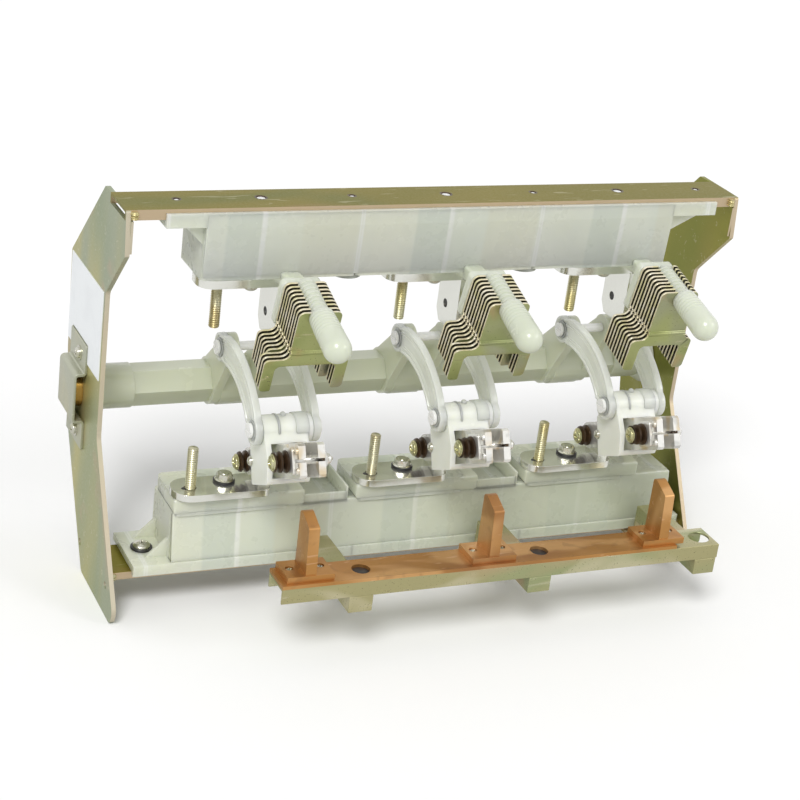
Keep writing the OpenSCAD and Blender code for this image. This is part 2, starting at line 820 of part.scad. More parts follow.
module blade_holder(i) {
    slot = blade_out + 0.5;
    color("whitesmoke") at_phase(i) at_blade() difference() {
        union() {
            side_slab(-sleeve_half, sleeve_half + holder_right) polygon(rounded([
                [-43, -24, 3],
                [-46, 21, 3],
                [pin_y + 14, pin_z, 0],
                [pin_y - 14, pin_z, 0],
                [-97, 2, 4],
                [-90, -24, 5]]));
            bar_x(-sleeve_half, 2 * sleeve_half, pin_y, pin_z, eye_r);
        }
        translate([-slot, -130, -blade_w / 2]) cube([slot + blade_out, 100, blade_w]);
        translate([-holder_left, -130, -blade_w / 2]) cube([holder_left, 62, blade_w]);
        bar_x(-sleeve_half - 1, 2 * sleeve_half + 2, pin_y, pin_z, pin_r);
    }
}

module blade_holder_a() {
    blade_holder(0);
}

module blade_holder_b() {
    blade_holder(1);
}

module blade_holder_c() {
    blade_holder(2);
}

module link_pin(i) {
    color("white") at_phase(i) at_blade() translate([0, pin_y, pin_z]) rotate([blade_slope, 0, 0]) link_bolt();
}

module link_pin_a() {
    link_pin(0);
}

module link_pin_b() {
    link_pin(1);
}

module link_pin_c() {
    link_pin(2);
}

// Bolt with a stack of disc springs under its domed head and a cap nut
module spring_bolt(discs, plate) {
    disc_t = 4.3;
    base = -blade_out - plate;
    stack = discs * disc_t;
    bar_x(base - stack, 2 * blade_out + plate + stack + 17, 0, 0, bolt_r);
    for (k = [0:discs - 1]) bar_x(base - (k + 1) * disc_t + 0.8, disc_t - 0.8, 0, 0, 12 - 0.5 * k);
    bar_x(base - stack - 2, 3, 0, 0, 9);
    bar_x(base - stack - 4.5, 3, 0, 0, 6.5);
    bar_x(blade_out, 3, 0, 0, 11.5);
    translate([blade_out + 3 - eps, 0, 0]) rotate([0, 90, 0]) cylinder(h = 7, r = 8, $fn = 6);
}

module contact_springs(i) {
    color("saddlebrown") at_phase(i) at_blade() {
        spring_bolt(3, 0);
        translate([0, -spring_y, 0]) {
            spring_bolt(4, 3);
            translate([-blade_out - 3, -13, -14]) cube([3, 26, 28]);
        }
    }
}

module contact_springs_a() {
    contact_springs(0);
}

module contact_springs_b() {
    contact_springs(1);
}

module contact_springs_c() {
    contact_springs(2);
}

left_side_plate();
right_side_plate();
top_beam();
bottom_beam();
left_bearing_bracket();
right_bearing_bracket();
bearing_bushes();
label_plate();
top_insulator_a();
top_insulator_b();
top_insulator_c();
bottom_insulator_a();
bottom_insulator_b();
bottom_insulator_c();
top_terminals();
bottom_terminals();
terminal_studs();
terminal_bolts();
joint_pads();
arc_plates_a();
arc_plates_b();
arc_plates_c();
arc_holders();
earth_channel();
earth_strip();
earth_contacts();
earth_brackets();
frame_bolts();
main_shaft();
crank_pins();
link_a();
link_b();
link_c();
blades_a();
blades_b();
blades_c();
blade_holder_a();
blade_holder_b();
blade_holder_c();
contact_springs_a();
contact_springs_b();
contact_springs_c();
link_pin_a();
link_pin_b();
link_pin_c();
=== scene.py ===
import json
from math import acos, asin, atan2, copysign, cos, degrees, pi, radians, sin, tan
import bmesh
import bpy
import numpy as np
from mathutils import Matrix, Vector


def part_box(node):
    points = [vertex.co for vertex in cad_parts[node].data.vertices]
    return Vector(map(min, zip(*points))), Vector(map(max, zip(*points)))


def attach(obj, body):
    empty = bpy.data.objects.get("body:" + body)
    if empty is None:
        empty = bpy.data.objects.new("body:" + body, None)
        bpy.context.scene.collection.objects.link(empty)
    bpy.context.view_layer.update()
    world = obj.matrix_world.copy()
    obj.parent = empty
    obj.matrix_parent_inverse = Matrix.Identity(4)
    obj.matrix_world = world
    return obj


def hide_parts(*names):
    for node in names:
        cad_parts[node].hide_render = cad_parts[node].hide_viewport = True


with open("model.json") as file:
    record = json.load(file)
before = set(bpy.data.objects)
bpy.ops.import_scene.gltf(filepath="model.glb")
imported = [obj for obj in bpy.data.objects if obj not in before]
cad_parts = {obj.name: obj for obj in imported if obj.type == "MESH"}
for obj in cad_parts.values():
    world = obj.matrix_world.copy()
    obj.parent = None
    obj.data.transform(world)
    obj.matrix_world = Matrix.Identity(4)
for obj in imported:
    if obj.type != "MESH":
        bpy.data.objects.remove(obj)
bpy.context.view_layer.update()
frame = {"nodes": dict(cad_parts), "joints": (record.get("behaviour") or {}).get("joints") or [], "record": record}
nodes = frame["nodes"]
mm = 0.001  # sizes are in millimetres and degrees; meshPiece brings them to metres
place = {j["name"]: np.array(j["pos_m"]) / mm for j in frame["joints"]}
phases = ("a", "b", "c")
phaseX = {phase: place["blade_turn_" + phase][0] for phase in phases}
even = (1.0, 1.0, 1.0)
print("stage: frame loaded,", len(nodes), "nodes")

view = dict(
    place=(-0.8986, -1.7647, 1.0816),
    right=(0.9123, -0.3920, 0.1189),
    down=(-0.0598, -0.4146, -0.9080),
    forward=(0.4052, 0.8213, -0.4016),
    lens=87.88,
    sensor=36.0,
)


def makeCamera(v):
    # columns of the camera matrix: right, up = -down, back = -forward
    data = bpy.data.cameras.new("camera")
    data.lens = v["lens"]
    data.sensor_width = v["sensor"]
    data.clip_end = 50
    obj = bpy.data.objects.new("camera", data)
    turn = np.column_stack((v["right"], -np.array(v["down"]), -np.array(v["forward"])))
    obj.matrix_world = Matrix.Translation(v["place"]) @ Matrix(turn.tolist()).to_4x4()
    bpy.context.collection.objects.link(obj)
    bpy.context.scene.camera = obj


makeCamera(view)
bpy.context.scene.view_settings.view_transform = "Standard"
print("stage: camera")


def newGroup(name, inputs, outputs):
    # inputs are {socket name: start value}, a number or three; outputs are the names of the masks
    group = bpy.data.node_groups.new(name, "ShaderNodeTree")
    for socket, start in inputs.items():
        kind = "NodeSocketVector" if isinstance(start, tuple) else "NodeSocketFloat"
        group.interface.new_socket(name=socket, in_out="INPUT", socket_type=kind).default_value = start
    for socket in outputs:
        group.interface.new_socket(name=socket, in_out="OUTPUT", socket_type="NodeSocketFloat")
    return group, group.nodes.new("NodeGroupInput").outputs, group.nodes.new("NodeGroupOutput").inputs


def addNode(tree, kind, settings=None, values=None):
    # settings are node properties, values are {input: constant, or the socket that feeds it}
    made = tree.nodes.new(kind)
    for key, value in (settings or {}).items():
        setattr(made, key, value)
    for key, value in (values or {}).items():
        if isinstance(value, bpy.types.NodeSocket):
            tree.links.new(value, made.inputs[key])
        else:
            made.inputs[key].default_value = value
    return made


def sumOf(tree, operation, one, two, kind="ShaderNodeMath"):
    return addNode(tree, kind, {"operation": operation}, {0: one, 1: two}).outputs[0]


def rangeOf(tree, value, low, high, first=0.0, last=1.0, smooth=False):
    # first to last while value goes from low to high, straight or smooth
    settings = {"interpolation_type": "SMOOTHSTEP"} if smooth else None
    ends = {"Value": value, "From Min": low, "From Max": high, "To Min": first, "To Max": last}
    return addNode(tree, "ShaderNodeMapRange", settings, ends).outputs["Result"]


def ownCoords(tree, stretch=None):
    # the object's own coordinates, times stretch
    own = addNode(tree, "ShaderNodeTexCoord").outputs["Object"]
    return own if stretch is None else sumOf(tree, "MULTIPLY", own, stretch, "ShaderNodeVectorMath")


def noiseAt(tree, where, scale, **values):
    values = {"Vector": where, "Scale": scale, **values}
    return addNode(tree, "ShaderNodeTexNoise", None, values).outputs["Fac"]


def patchGroup():
    # mask = smooth step of cloudy noise at Scale about Level, with softness Blur
    inputs = {"Scale": 12.0, "Level": 0.5, "Blur": 0.1, "Stretch": even}
    group, start, end = newGroup("patches", inputs, ("Mask",))
    where = ownCoords(group, start["Stretch"])
    noise = noiseAt(group, where, start["Scale"], Detail=2.2, Roughness=0.5, Distortion=0.5)
    low, high = (sumOf(group, way, start["Level"], start["Blur"]) for way in ("SUBTRACT", "ADD"))
    group.links.new(rangeOf(group, noise, low, high, smooth=True), end["Mask"])
    return group


def grainGroup():
    # height = fine noise drawn out along one axis, less a few deeper scratches
    inputs = {"Scale": 600.0, "Stretch": even, "Scratches": 0.3}
    group, start, end = newGroup("grain", inputs, ("Height", "Scratch"))
    fine = noiseAt(group, ownCoords(group, start["Stretch"]), start["Scale"], Detail=3.0, Roughness=0.7)
    marks = noiseAt(group, ownCoords(group, (9.0, 60.0, 60.0)), 2.0, Detail=2.0, Distortion=1.5)
    depth = sumOf(group, "MULTIPLY", rangeOf(group, marks, 0.66, 0.7), start["Scratches"])
    group.links.new(sumOf(group, "SUBTRACT", fine, depth), end["Height"])
    group.links.new(depth, end["Scratch"])
    return group


def dustAndSheenGroup():
    # mask = how far a face looks up, times cloudy noise, times Amount, for settled dust; front = how far it looks
    # to -Y, the mask of painted light on front faces
    group, start, end = newGroup("settledDustAndFrontSheen", {"Amount": 0.2}, ("Mask", "Front"))
    normal = addNode(group, "ShaderNodeNewGeometry").outputs["Normal"]
    facing = addNode(group, "ShaderNodeSeparateXYZ", None, {0: normal}).outputs
    noise = noiseAt(group, ownCoords(group), 26.0, Detail=6.0, Roughness=0.65)
    spread = sumOf(group, "MULTIPLY", rangeOf(group, facing["Z"], 0.35, 1.0), noise)
    group.links.new(sumOf(group, "MULTIPLY", spread, start["Amount"]), end["Mask"])
    # this front mask places painted highlight and painted shade by facing; it is not dust
    group.links.new(rangeOf(group, facing["Y"], -0.6, -0.95, smooth=True), end["Front"])
    return group


# inner ribs of the mouldings, in metres, one period per phase: (share of it, (line, panel, warm))
ribs = dict(
    period=0.21, start=-0.2885,
    stops=((0.001, (0, 0, 0)), (0.17, (0, 0, 0)), (0.185, (0, 1, 0)), (0.35, (0, 0.9, 0)),
           (0.358, (1, 0, 0)), (0.374, (0.9, 0, 0)), (0.384, (0, 0, 0)), (0.56, (0, 0.1, 0)),
           (0.58, (0, 0.3, 1)), (0.85, (0, 0.3, 1)), (0.868, (0, 0, 0)), (0.872, (1, 0, 0)),
           (0.88, (0.3, 0, 0)), (0.888, (1, 0, 0)), (0.894, (0, 0, 0))),
)


def ribGroup():
    # share of the period = fract((X - start) / period); the ramp holds line, panel and warm as R, G, B
    group, _, end = newGroup("innerRibsAndPaintedShade", {}, ("Line", "Panel", "Warm", "Fade"))
    spot = addNode(group, "ShaderNodeSeparateXYZ", None, {0: ownCoords(group)}).outputs
    share = sumOf(group, "DIVIDE", sumOf(group, "SUBTRACT", spot["X"], ribs["start"]), ribs["period"])
    part = addNode(group, "ShaderNodeMath", {"operation": "FRACT"}, {0: share}).outputs[0]
    bands = addNode(group, "ShaderNodeValToRGB", None, {"Fac": part})
    ramp = bands.color_ramp
    for at, tone in ribs["stops"]:
        ramp.elements.new(at).color = (*tone, 1.0)
    ramp.elements.remove(ramp.elements[0])
    ramp.elements[len(ramp.elements) - 1].color = (0.0, 0.0, 0.0, 1.0)
    tones = addNode(group, "ShaderNodeSeparateColor", None, {"Color": bands.outputs["Color"]}).outputs
    for band, channel in (("Line", "Red"), ("Panel", "Green"), ("Warm", "Blue")):
        group.links.new(tones[channel], end[band])
    # fade, the mask of painted shade = smooth step along X times a step that ends above the lower mouldings
    along = rangeOf(group, spot["X"], -0.2, 0.25, smooth=True)
    group.links.new(sumOf(group, "MULTIPLY", along, rangeOf(group, spot["Z"], 0.2, 0.16)), end["Fade"])
    return group


groups = {"patches": patchGroup(), "grain": grainGroup(), "dust": dustAndSheenGroup(), "ribs": ribGroup()}
print("stage: shader groups")


def useGroup(tree, name, **values):
    return addNode(tree, "ShaderNodeGroup", {"node_tree": groups[name]}, values).outputs


def mixColour(tree, mask, below, above, most=1.0):
    # colour = below + (above - below) * mask * most; below and above are colours or sockets
    share = addNode(tree, "ShaderNodeMath", {"operation": "MULTIPLY", "use_clamp": True}, {0: mask, 1: most})
    sides = {6: below, 7: above}
    values = {side: (*tone, 1.0) if isinstance(tone, tuple) else tone for side, tone in sides.items()}
    return addNode(tree, "ShaderNodeMix", {"data_type": "RGBA"}, {0: share.outputs[0], **values}).outputs[2]


def finish(name, look):
    # colour: base, patches, ribs, scratches, front (painted highlight on faces looking to -Y), fade (painted shade
    # on the lower mouldings' front faces), then dust; roughness and bump follow the grain
    made = bpy.data.materials.new(name)
    made.use_nodes = True
    tree = made.node_tree
    shader = tree.nodes["Principled BSDF"].inputs
    colour = look["base"]
    for tone, scale, level, blur, most, *stretch in look["patches"]:
        mask = useGroup(tree, "patches", Scale=scale, Level=level, Blur=blur, Stretch=(*stretch, even)[0])
        colour = mixColour(tree, mask["Mask"], colour, tone, most)
    if "ribs" in look:
        bands = useGroup(tree, "ribs")
        for band, (tone, most) in look["ribs"].items():
            colour = mixColour(tree, bands[band], colour, tone, most)
    grain = useGroup(tree, "grain", Scale=look["grain"], Stretch=look["stretch"], Scratches=look["scratches"])
    if "edge" in look:
        colour = mixColour(tree, grain["Scratch"], colour, *look["edge"])
    # the dust group gives the settled dust mask and the front mask of painted light
    dust = useGroup(tree, "dust", Amount=look["dust"])
    # painted highlight: faces that look to -Y take the paler front tone
    if "front" in look:
        colour = mixColour(tree, dust["Front"], colour, *look["front"])
    # painted shade: the lower mouldings' front faces darken towards +X
    if "fade" in look:
        colour = mixColour(tree, sumOf(tree, "MULTIPLY", bands["Fade"], dust["Front"]), colour, *look["fade"])
    tree.links.new(mixColour(tree, dust["Mask"], colour, (0.75, 0.74, 0.68)), shader["Base Color"])
    tree.links.new(rangeOf(tree, grain["Height"], 0.3, 0.75, *look["rough"]), shader["Roughness"])
    bump = addNode(tree, "ShaderNodeBump", None,
                   {"Strength": look["bump"], "Distance": look["bumpDepth"], "Height": grain["Height"]})
    tree.links.new(bump.outputs["Normal"], shader["Normal"])
    shader["Metallic"].default_value = look["metal"]
    shader["IOR"].default_value = look["ior"]
    if "glow" in look:  # light that passes through the moulding
        weight, reach, tint = look["glow"]
        shader["Subsurface Weight"].default_value = weight
        shader["Subsurface Scale"].default_value = reach
        shader["Subsurface Radius"].default_value = tint
    if "coat" in look:
        shader["Coat Weight"].default_value = look["coat"]
        shader["Coat Roughness"].default_value = 0.12
    return made


# patches are (tone, scale, level, blur, most, stretch where not even); edge, front, fade and each rib band
# are (tone, most); rough is (low, high); glow is (weight, reach, tint)
sheet = dict(metal=0.55, rough=(0.26, 0.4), grain=420, stretch=even, bump=0.08, bumpDepth=0.0002,
    scratches=0.25, dust=0.03, ior=1.5)
small = dict(sheet, metal=0.9, rough=(0.16, 0.3), grain=500, scratches=0.2)
plastic = dict(sheet, metal=0.0, rough=(0.24, 0.28), grain=30, bump=0.02, bumpDepth=0.0001, scratches=0.0,
    dust=0.0)


def nylonLook(base, deep, pale, reach, coat):
    # moulded nylon: base with deeper and paler clouds drawn out along X
    clouds = ((deep, 14, 0.54, 0.2, 0.6, (2, 1, 0.5)), (pale, 20, 0.58, 0.16, 0.5, (2, 1, 0.6)))
    return dict(plastic, base=base, patches=clouds, glow=(0.8, reach, (1, 1, 0.85)), coat=coat)


finishes = dict(
    # the front tones of the zinc finishes are painted highlights on faces looking to -Y
    zincPlate=dict(sheet, base=(0.34, 0.375, 0.255), metal=0.5, rough=(0.34, 0.5), bump=0.1,
        patches=(((0.5, 0.45, 0.17), 3.6, 0.52, 0.1, 0.9, (1, 2.4, 0.4)),
        ((0.26, 0.32, 0.2), 6, 0.56, 0.12, 0.7, (1, 1.6, 0.5)), ((0.5, 0.36, 0.24), 16, 0.62, 0.07, 0.4)),
        front=((0.66, 0.57, 0.44), 0.75), edge=((0.8, 0.74, 0.6), 0.8), dust=0.04),
    zincHat=dict(sheet, base=(0.45, 0.46, 0.36), rough=(0.3, 0.44),
        patches=(((0.5, 0.47, 0.3), 16, 0.54, 0.1, 0.7, (1, 1, 0.5)),
        ((0.38, 0.41, 0.31), 22, 0.56, 0.12, 0.7, (1, 1, 0.5))), edge=((0.84, 0.8, 0.68), 0.8)),
    # darker, yellower zinc for the right side plate: its own chromate tone, and painted shade of the frame's
    # inside
    zincInnerAndShade=dict(sheet, base=(0.275, 0.26, 0.045), metal=0.75, rough=(0.28, 0.42),
        patches=(((0.32, 0.24, 0.075), 4, 0.57, 0.1, 0.7, (1, 1.8, 0.5)),
        ((0.21, 0.225, 0.04), 6, 0.54, 0.14, 0.8, (1, 1.2, 0.5)),
        ((0.42, 0.4, 0.26), 16, 0.62, 0.07, 0.4, (1, 1, 0.4))), front=((0.68, 0.55, 0.42), 0.8),
        edge=((0.78, 0.7, 0.55), 0.8)),
    zincChannel=dict(sheet, base=(0.41, 0.375, 0.19), metal=0.65,
        patches=(((0.32, 0.37, 0.19), 8, 0.53, 0.1, 0.8, (0.5, 1.2, 1.2)),
        ((0.54, 0.37, 0.22), 10, 0.56, 0.09, 0.7, (0.4, 1.2, 1.2)),
        ((0.6, 0.55, 0.37), 20, 0.58, 0.08, 0.7, (0.4, 1.2, 1.2))), edge=((0.8, 0.74, 0.58), 0.8),
        dust=0.04),
    zincBeam=dict(sheet, base=(0.195, 0.165, 0.004), metal=0.85, rough=(0.34, 0.48),
        patches=(((0.245, 0.195, 0.015), 6, 0.5, 0.15, 0.8, (0.5, 1.6, 1.6)),
        ((0.15, 0.155, 0.015), 9, 0.54, 0.12, 0.8, (0.4, 1.2, 1.2)),
        ((0.29, 0.18, 0.06), 14, 0.63, 0.07, 0.4, (0.5, 1.2, 1.2))), front=((0.64, 0.5, 0.35), 0.85),
        scratches=0.3, edge=((0.74, 0.68, 0.46), 0.8), dust=0.0),
    # the resin's fade tone is painted shade on the lower mouldings' front faces
    resin=dict(plastic, base=(0.7, 0.735, 0.6), rough=(0.26, 0.3),
        patches=(((0.58, 0.63, 0.53), 6, 0.53, 0.2, 0.6, (1, 0.6, 0.35)),
        ((0.7, 0.7, 0.53), 9, 0.57, 0.18, 0.5, (1, 0.8, 0.4))), fade=((0.48, 0.515, 0.39), 0.8),
        ribs=dict(Panel=((0.53, 0.585, 0.5), 0.55), Warm=((0.66, 0.66, 0.5), 0.5),
        Line=((0.82, 0.84, 0.76), 0.75)), glow=(0.6, 0.02, (1, 1, 0.8)), coat=0.12),
    tinned=dict(small, base=(0.82, 0.82, 0.77), metal=0.88, rough=(0.12, 0.2), grain=120,
        stretch=(0.3, 2, 2), bump=0.03, patches=(((0.6, 0.6, 0.52), 14, 0.58, 0.1, 0.5, (0.5, 1.5, 1)),
        ((0.9, 0.9, 0.86), 40, 0.6, 0.08, 0.5)), edge=((0.95, 0.94, 0.9), 0.8), dust=0.0),
    tinBright=dict(small, base=(0.86, 0.865, 0.81), rough=(0.16, 0.24), grain=120, stretch=(0.3, 2, 2),
        bump=0.03, patches=(((0.84, 0.84, 0.79), 20, 0.6, 0.1, 0.5, (0.5, 1.5, 1)),),
        edge=((1, 1, 0.97), 0.8), dust=0.0),
    polished=dict(sheet, base=(0.8, 0.79, 0.75), metal=0.62, rough=(0.16, 0.28), grain=300, bump=0.05,
        patches=(((0.66, 0.5, 0.26), 30, 0.61, 0.07, 0.7), ((0.42, 0.42, 0.4), 50, 0.63, 0.06, 0.5)),
        scratches=0.3),
    goldZinc=dict(small, base=(0.56, 0.5, 0.24), metal=0.75, rough=(0.24, 0.38), bump=0.1,
        patches=(((0.38, 0.29, 0.15), 12, 0.5, 0.1, 0.6), ((0.6, 0.6, 0.46), 14, 0.54, 0.1, 0.7)),
        dust=0.04),
    springHead=dict(small, base=(0.56, 0.53, 0.3), metal=0.85,
        patches=(((0.42, 0.44, 0.24), 60, 0.52, 0.1, 0.6), ((0.74, 0.7, 0.5), 90, 0.58, 0.1, 0.5))),
    screwSteel=dict(small, base=(0.62, 0.61, 0.54), grain=400,
        patches=(((0.42, 0.42, 0.26), 50, 0.56, 0.1, 0.6),), scratches=0.3),
    chutePlate=dict(sheet, base=(0.35, 0.375, 0.15),
        patches=(((0.33, 0.33, 0.25), 13, 0.53, 0.1, 0.8, (1, 1, 0.7)),
        ((0.26, 0.3, 0.09), 20, 0.55, 0.12, 0.7), ((0.46, 0.3, 0.15), 26, 0.62, 0.07, 0.5)), scratches=0.3,
        edge=((0.76, 0.66, 0.44), 0.9), dust=0.04),
    # cut edges of the splitter plates: paler bare sheared metal, and a painted highlight
    plateEdgeAndHighlight=dict(sheet, base=(0.78, 0.7, 0.5), bump=0.1, patches=(((0.62, 0.58, 0.28), 60, 0.54, 0.1, 0.7),
        ((0.88, 0.84, 0.74), 90, 0.58, 0.1, 0.6)), scratches=0.2, dust=0.02),
    # painted shade: near black for the plate faces inside the gaps
    plateGapShade=dict(sheet, base=(0.035, 0.033, 0.018), metal=0.2, rough=(0.4, 0.6), bump=0.1,
        patches=(((0.07, 0.06, 0.03), 50, 0.56, 0.1, 0.6),), scratches=0.1, dust=0.0, ior=1.3),
    nylon=nylonLook((0.745, 0.785, 0.675), (0.71, 0.745, 0.64), (0.82, 0.845, 0.77), 0.025, 0.2),
    chuteNylon=nylonLook((0.62, 0.655, 0.54), (0.58, 0.615, 0.49), (0.7, 0.73, 0.63), 0.02, 0.3),
    # brighter copy of the nylon for the blade holders: painted light standing in for light through their walls
    holderNylonPaintedLight=nylonLook((0.86, 0.885, 0.79), (0.8, 0.83, 0.72), (0.9, 0.92, 0.86), 0.01, 0.2),
    whiteNylon=dict(plastic, base=(0.94, 0.94, 0.92), rough=(0.24, 0.3), grain=40, bumpDepth=0.0002,
        patches=(((0.88, 0.89, 0.85), 60, 0.58, 0.12, 0.5),), glow=(0.3, 0.006, (1, 1, 0.9))),
    shaftResin=dict(plastic, base=(0.66, 0.69, 0.53), grain=24, bumpDepth=0.0002,
        patches=(((0.72, 0.75, 0.62), 5, 0.5, 0.18, 0.8, (0.35, 1.4, 1.4)),
        ((0.59, 0.61, 0.45), 9, 0.58, 0.15, 0.6, (0.4, 1.2, 1.2))), glow=(0.5, 0.02, (1, 0.95, 0.7)),
        coat=0.15),
    copper=dict(sheet, base=(0.475, 0.235, 0.07), metal=0.75, rough=(0.3, 0.48), grain=380,
        stretch=(0.2, 2, 1), bump=0.12, patches=(((0.33, 0.15, 0.06), 9, 0.56, 0.12, 0.7, (0.7, 2, 1)),
        ((0.69, 0.4, 0.17), 16, 0.53, 0.08, 0.8, (0.5, 1.6, 0.6)),
        ((0.27, 0.14, 0.06), 50, 0.62, 0.06, 0.3)), scratches=0.35, edge=((0.86, 0.58, 0.38), 0.9),
        dust=0.0),
    bushMetal=dict(small, base=(0.58, 0.36, 0.12), grain=360,
        patches=(((0.34, 0.2, 0.07), 30, 0.54, 0.12, 0.7),)),
    discSpring=dict(sheet, base=(0.05, 0.028, 0.014), metal=0.5, grain=500,
        patches=(((0.1, 0.058, 0.026), 80, 0.54, 0.12, 0.7),), scratches=0.1, dust=0.02),
    # dark washers, and the same near-black finish as painted shade in the holes
    darkWasherAndHoleShade=dict(small, base=(0.018, 0.018, 0.02), metal=0.2, rough=(0.35, 0.5), bump=0.15,
        patches=(((0.045, 0.045, 0.04), 90, 0.55, 0.1, 0.7),), scratches=0.1, dust=0.02),
    labelWhite=dict(sheet, base=(0.89, 0.92, 0.94), metal=0.0, rough=(0.3, 0.42), grain=200, bump=0.03,
        patches=(((0.82, 0.845, 0.87), 26, 0.56, 0.12, 0.5),), scratches=0.12, dust=0.02),
    padGrey=dict(sheet, base=(0.4, 0.42, 0.38), metal=0.0, rough=(0.35, 0.5), grain=300, bump=0.15,
        patches=(((0.5, 0.52, 0.47), 50, 0.55, 0.12, 0.6),), scratches=0.1, dust=0.04),
)
paint = {name: finish(name, look) for name, look in finishes.items()}
print("stage: finishes,", len(paint))


def unit(v):
    return np.asarray(v, float) / np.linalg.norm(v)


def toMm(sizes):
    return np.array(sizes) / mm


def circle(count):
    return np.linspace(0, 2 * pi, count, endpoint=False)


def newShell():
    return {"verts": [], "faces": [], "count": 0}


def addGrid(shell, points, closeU=False, caps=False):
    # faces (i, j), (i + 1, j), (i + 1, j + 1), (i, j + 1), wrapped along j; caps are flat end faces
    n, m = points.shape[:2]
    i, j = np.meshgrid(np.arange(n if closeU else n - 1), np.arange(m), indexing="ij")
    i2, j2 = (i + 1) % n, (j + 1) % m
    quads = np.stack((i * m + j, i2 * m + j, i2 * m + j2, i * m + j2), -1).reshape(-1, 4)
    start = shell["count"]
    shell["verts"].append(points.reshape(-1, 3))
    shell["faces"].extend((quads + start).tolist())
    shell["count"] += n * m
    if caps:
        shell["faces"].append(list(range(start, start + m)))
        shell["faces"].append(list(range(shell["count"] - m, shell["count"]))[::-1])


def revolve(shell, heights, radii, base, axis, closeU=False):
    # point(i, a) = base + axis * height(i, a) + radius(i, a) * (side * cos a + up * sin a)
    axis = unit(axis)
    side = unit(np.cross(axis, (0.0, 0.0, 1.0) if abs(axis[2]) < 0.9 else (0.0, 1.0, 0.0)))
    turn = circle(radii.shape[1])[:, None]
    ray = np.cos(turn) * side + np.sin(turn) * np.cross(axis, side)
    addGrid(shell, np.asarray(base) + heights[..., None] * axis + radii[..., None] * ray, closeU)


def lathe(shell, profile, base, axis, around=36, section=None, closeU=False):
    # profile is (height, radius) all round, kept inside the section where one is given
    profile = np.asarray(profile, float)
    turn = circle(around)[None, :]
    radii = profile[:, 1:2] + 0 * turn
    if section is not None:
        radii = np.minimum(radii, section(turn))
    revolve(shell, profile[:, :1], radii, base, axis, closeU)


def disc(thick, radius, edge=0):
    # profile of a flat disc, its rim cut back by edge
    rim = [(edge, radius), (thick - edge, radius)] if edge else []
    return [(0, 0), (0, radius - edge), *rim, (thick, radius - edge), (thick, 0)]


def hexSection(flat):
    # radius of a hexagon = half width across flats / cos(angle from the nearest flat's middle)
    return lambda a: flat / np.cos((a + pi / 6) % (pi / 3) - pi / 6)


def thread(shell, base, axis, length, g):
    # radius = r - depth * (1 - |2 * frac(height / pitch - angle / turn) - 1|), cut to a chamfer at both ends
    height = np.linspace(0, length, int(length / g["pitch"] * g["perTurn"]))[:, None]
    wave = (height / g["pitch"] - circle(24) / (2 * pi)) % 1
    r = g["radius"] - g["depth"] * (1 - np.abs(2 * wave - 1))
    r = np.minimum(r, g["radius"] - g["chamfer"] + np.minimum(height, length - height))
    revolve(shell, np.vstack((0, height, length)), np.vstack((0 * r[:1], r, 0 * r[:1])), base, axis)


def panHead(shell, base, axis, radius, height, around=40, cross=True):
    # dome height = h * (1 / 4 + 3 / 4 * sqrt(1 - (r / R)^2)), with a cross-shaped recess inside 0.58 R
    turn = circle(around)
    share = np.sin(np.linspace(0, pi / 2, 18))[::-1][:, None] + 0 * turn
    lift = 0.25 + 0.75 * np.sqrt(np.clip(1 - share ** 2, 0, 1))
    if cross:
        arm = share * np.minimum(np.abs(np.cos(turn)), np.abs(np.sin(turn))) < 0.13
        lift = lift - np.where(arm, np.clip((0.58 - share) / 0.12, 0, 1) * 0.55, 0)
    flat = 0 * lift[:1]
    heights, radii = np.vstack((flat, flat, height * lift)), radius * np.vstack((flat, flat + 1, share))
    revolve(shell, heights, radii, base, axis)


def roundCorners(points, steps=5):
    # each corner (x, y, r) becomes an arc of radius r tangent to both sides
    points = np.asarray(points, float)
    out = []
    for k, b in enumerate(points):
        a, c = points[k - 1][:2], points[(k + 1) % len(points)][:2]
        if b[2] == 0:
            out.append(b[:2])
            continue
        u, v = unit(a - b[:2]), unit(c - b[:2])
        half = acos(np.clip(u @ v, -1, 1)) / 2
        centre = b[:2] + unit(u + v) * b[2] / sin(half)
        start, end = (b[:2] + w * b[2] / tan(half) - centre for w in (u, v))
        first = atan2(start[1], start[0])
        sweep = copysign(pi - 2 * half, start[0] * end[1] - start[1] * end[0])
        angle = first + sweep * np.linspace(0, 1, steps + 1)
        out.extend(centre + b[2] * np.column_stack((np.cos(angle), np.sin(angle))))
    return np.array(out)


def rectangle(left, right, low, high, r, topR=None):
    # four corners (x, y, radius) from the low left one round
    topR = r if topR is None else topR
    return [(left, low, r), (right, low, r), (right, high, topR), (left, high, topR)]


def insetOutline(outline, distance):
    # each point moves in along the bisector of its two sides
    before, after = np.roll(outline, 1, 0), np.roll(outline, -1, 0)
    area = np.sum(outline[:, 0] * after[:, 1] - after[:, 0] * outline[:, 1])
    n = 0
    for side in (outline - before, after - outline):
        side = side / np.maximum(np.linalg.norm(side, axis=1, keepdims=True), 1e-9)
        n = n + np.column_stack((-side[:, 1], side[:, 0])) * (1.0 if area > 0 else -1.0)
    length = np.maximum(np.linalg.norm(n, axis=1, keepdims=True), 1e-9)
    return outline + n / length * distance * np.minimum(2 / length, 1.5)


def slab(shell, outline, rings, toSpace):
    # rings are (depth, inset): the outline moved in by inset at depth; toSpace places (a, b, depth)
    stack = []
    for depth, inset in rings:
        flat = insetOutline(outline, inset) if inset else outline
        stack.append(toSpace(flat[:, 0], flat[:, 1], np.full(len(flat), depth)))
    addGrid(shell, np.stack(stack), caps=True)


